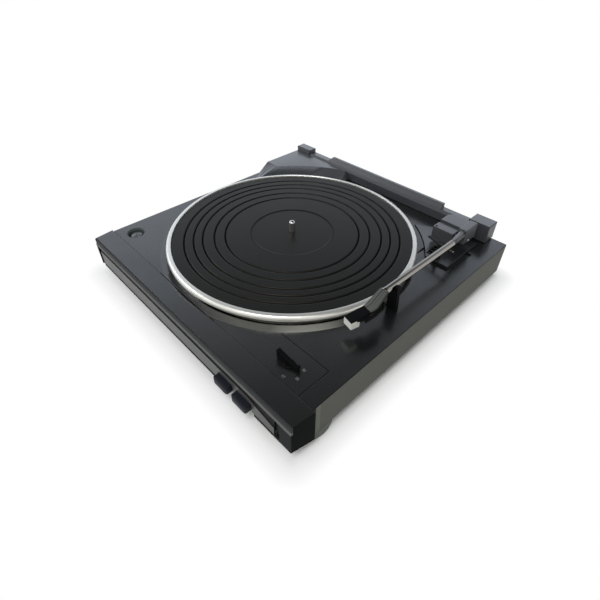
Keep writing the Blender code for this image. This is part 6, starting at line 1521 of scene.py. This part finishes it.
place_piece("pan_screws", mesh, "base", bright_steel, "steel", *SCREWS)
print("screws:", len(mesh.polygons), "faces")

# %% [markdown]
# ## Ribs under the pan
#
# A flat pan of this size would drum, so its underside has a field of low ribs. They repeat at one
# pitch, like the ribs of the lever's grip, so the same growth makes them.

# %% Grow the pan ribs
RIB_PITCH = 14 * MM
RIB_COUNT = 13
ribs = rib_field("pan_ribs", (150, 2.4, 0.9, 0.3), satin_black, RIB_COUNT, RIB_PITCH)
ribs.transform(Matrix.Translation((0, 2 * MM, pan_low.z)) @ Matrix.Rotation(math.pi, 4, "X"))
place_piece("pan_ribs", ribs, "base", satin_black, "black_plastic")
print("pan ribs:", RIB_COUNT)

# %% [markdown]
# ## Sockets at the back
#
# The two output sockets are turned metal rings round coloured insulators, white for the left
# channel and red for the right. The rings are profiles swung round an upright line and then laid on
# their backs.

# %% Turn the sockets
JACK_PITCH = 18 * MM
JACK_HEIGHT = 22 * MM
JACK_SHELL = [(3.3, -4.0), (3.3, -0.15), (3.5, 0.0), (4.05, 0.0), (4.25, -0.2), (4.25, -1.7),
              (5.3, -1.75), (5.5, -1.95), (5.5, -4.0)]
JACK_DISC = [(1.65, -4.2), (1.65, -0.5), (1.9, -0.35), (3.0, -0.35), (3.25, -0.55), (3.25, -4.2)]


def laid(shape, place):
    """Lays an upright turned shape down, so that its top faces backwards, at a place."""
    turn = Matrix.Rotation(math.radians(-90), 3, "X")
    bmesh.ops.rotate(shape, cent=(0, 0, 0), matrix=turn, verts=shape.verts)
    bmesh.ops.translate(shape, vec=place, verts=shape.verts)
    return shape


def jack_ring(name, profile, steps, place, finish, slot):
    """One ring of a socket, turned in millimetres and laid down at its place."""
    ring = turned([(radius * MM, height * MM) for radius, height in profile], (0, 0), steps,
                  ring=True)
    place_piece(name, smooth(mesh_of(laid(ring, place), name), 35), "base", finish, slot)


CHANNELS = [(1, soft_white, "white_plastic", "left"), (-1, stylus_red, "red_plastic", "right")]
for side, insulator, slot, name in CHANNELS:
    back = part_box("output_sockets")[1].y
    place = (middle("output_sockets").x + side * JACK_PITCH / 2, back, JACK_HEIGHT)
    jack_ring(f"jack_shell_{name}", JACK_SHELL, 64, place, bright_steel, "steel")
    jack_ring(f"jack_insulator_{name}", JACK_DISC, 48, place, insulator, slot)
print("sockets turned")

# %% [markdown]
# ## Works inside
#
# The works under the deck hardly show, even from below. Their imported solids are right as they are,
# so they only take the finishes that such parts have.

# %% Finish the works
WORKS = {
    bright_steel: ["cam_stud", "lever_stud", "return_lever", "motor", "motor_shaft", "arm_pillar",
                   "arm_crank", "pivot_pin", "counterweight", "transformer"],
    machined_brass: ["bearing_bush", "motor_pulley"],
    oiled_bronze: ["arm_bush"],
    natural_nylon: ["hub_pinion", "cam_gear"],
    board_green: ["switch_board", "circuit_board"],
    belt_rubber: ["drive_belt", "motor_mount_1", "motor_mount_2", "motor_mount_3"],
}
for finish, nodes in WORKS.items():
    for node in nodes:
        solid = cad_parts[node]
        for slot in solid.material_slots:
            slot.material = finish.material
print("works finished:", sum(len(nodes) for nodes in WORKS.values()), "nodes")
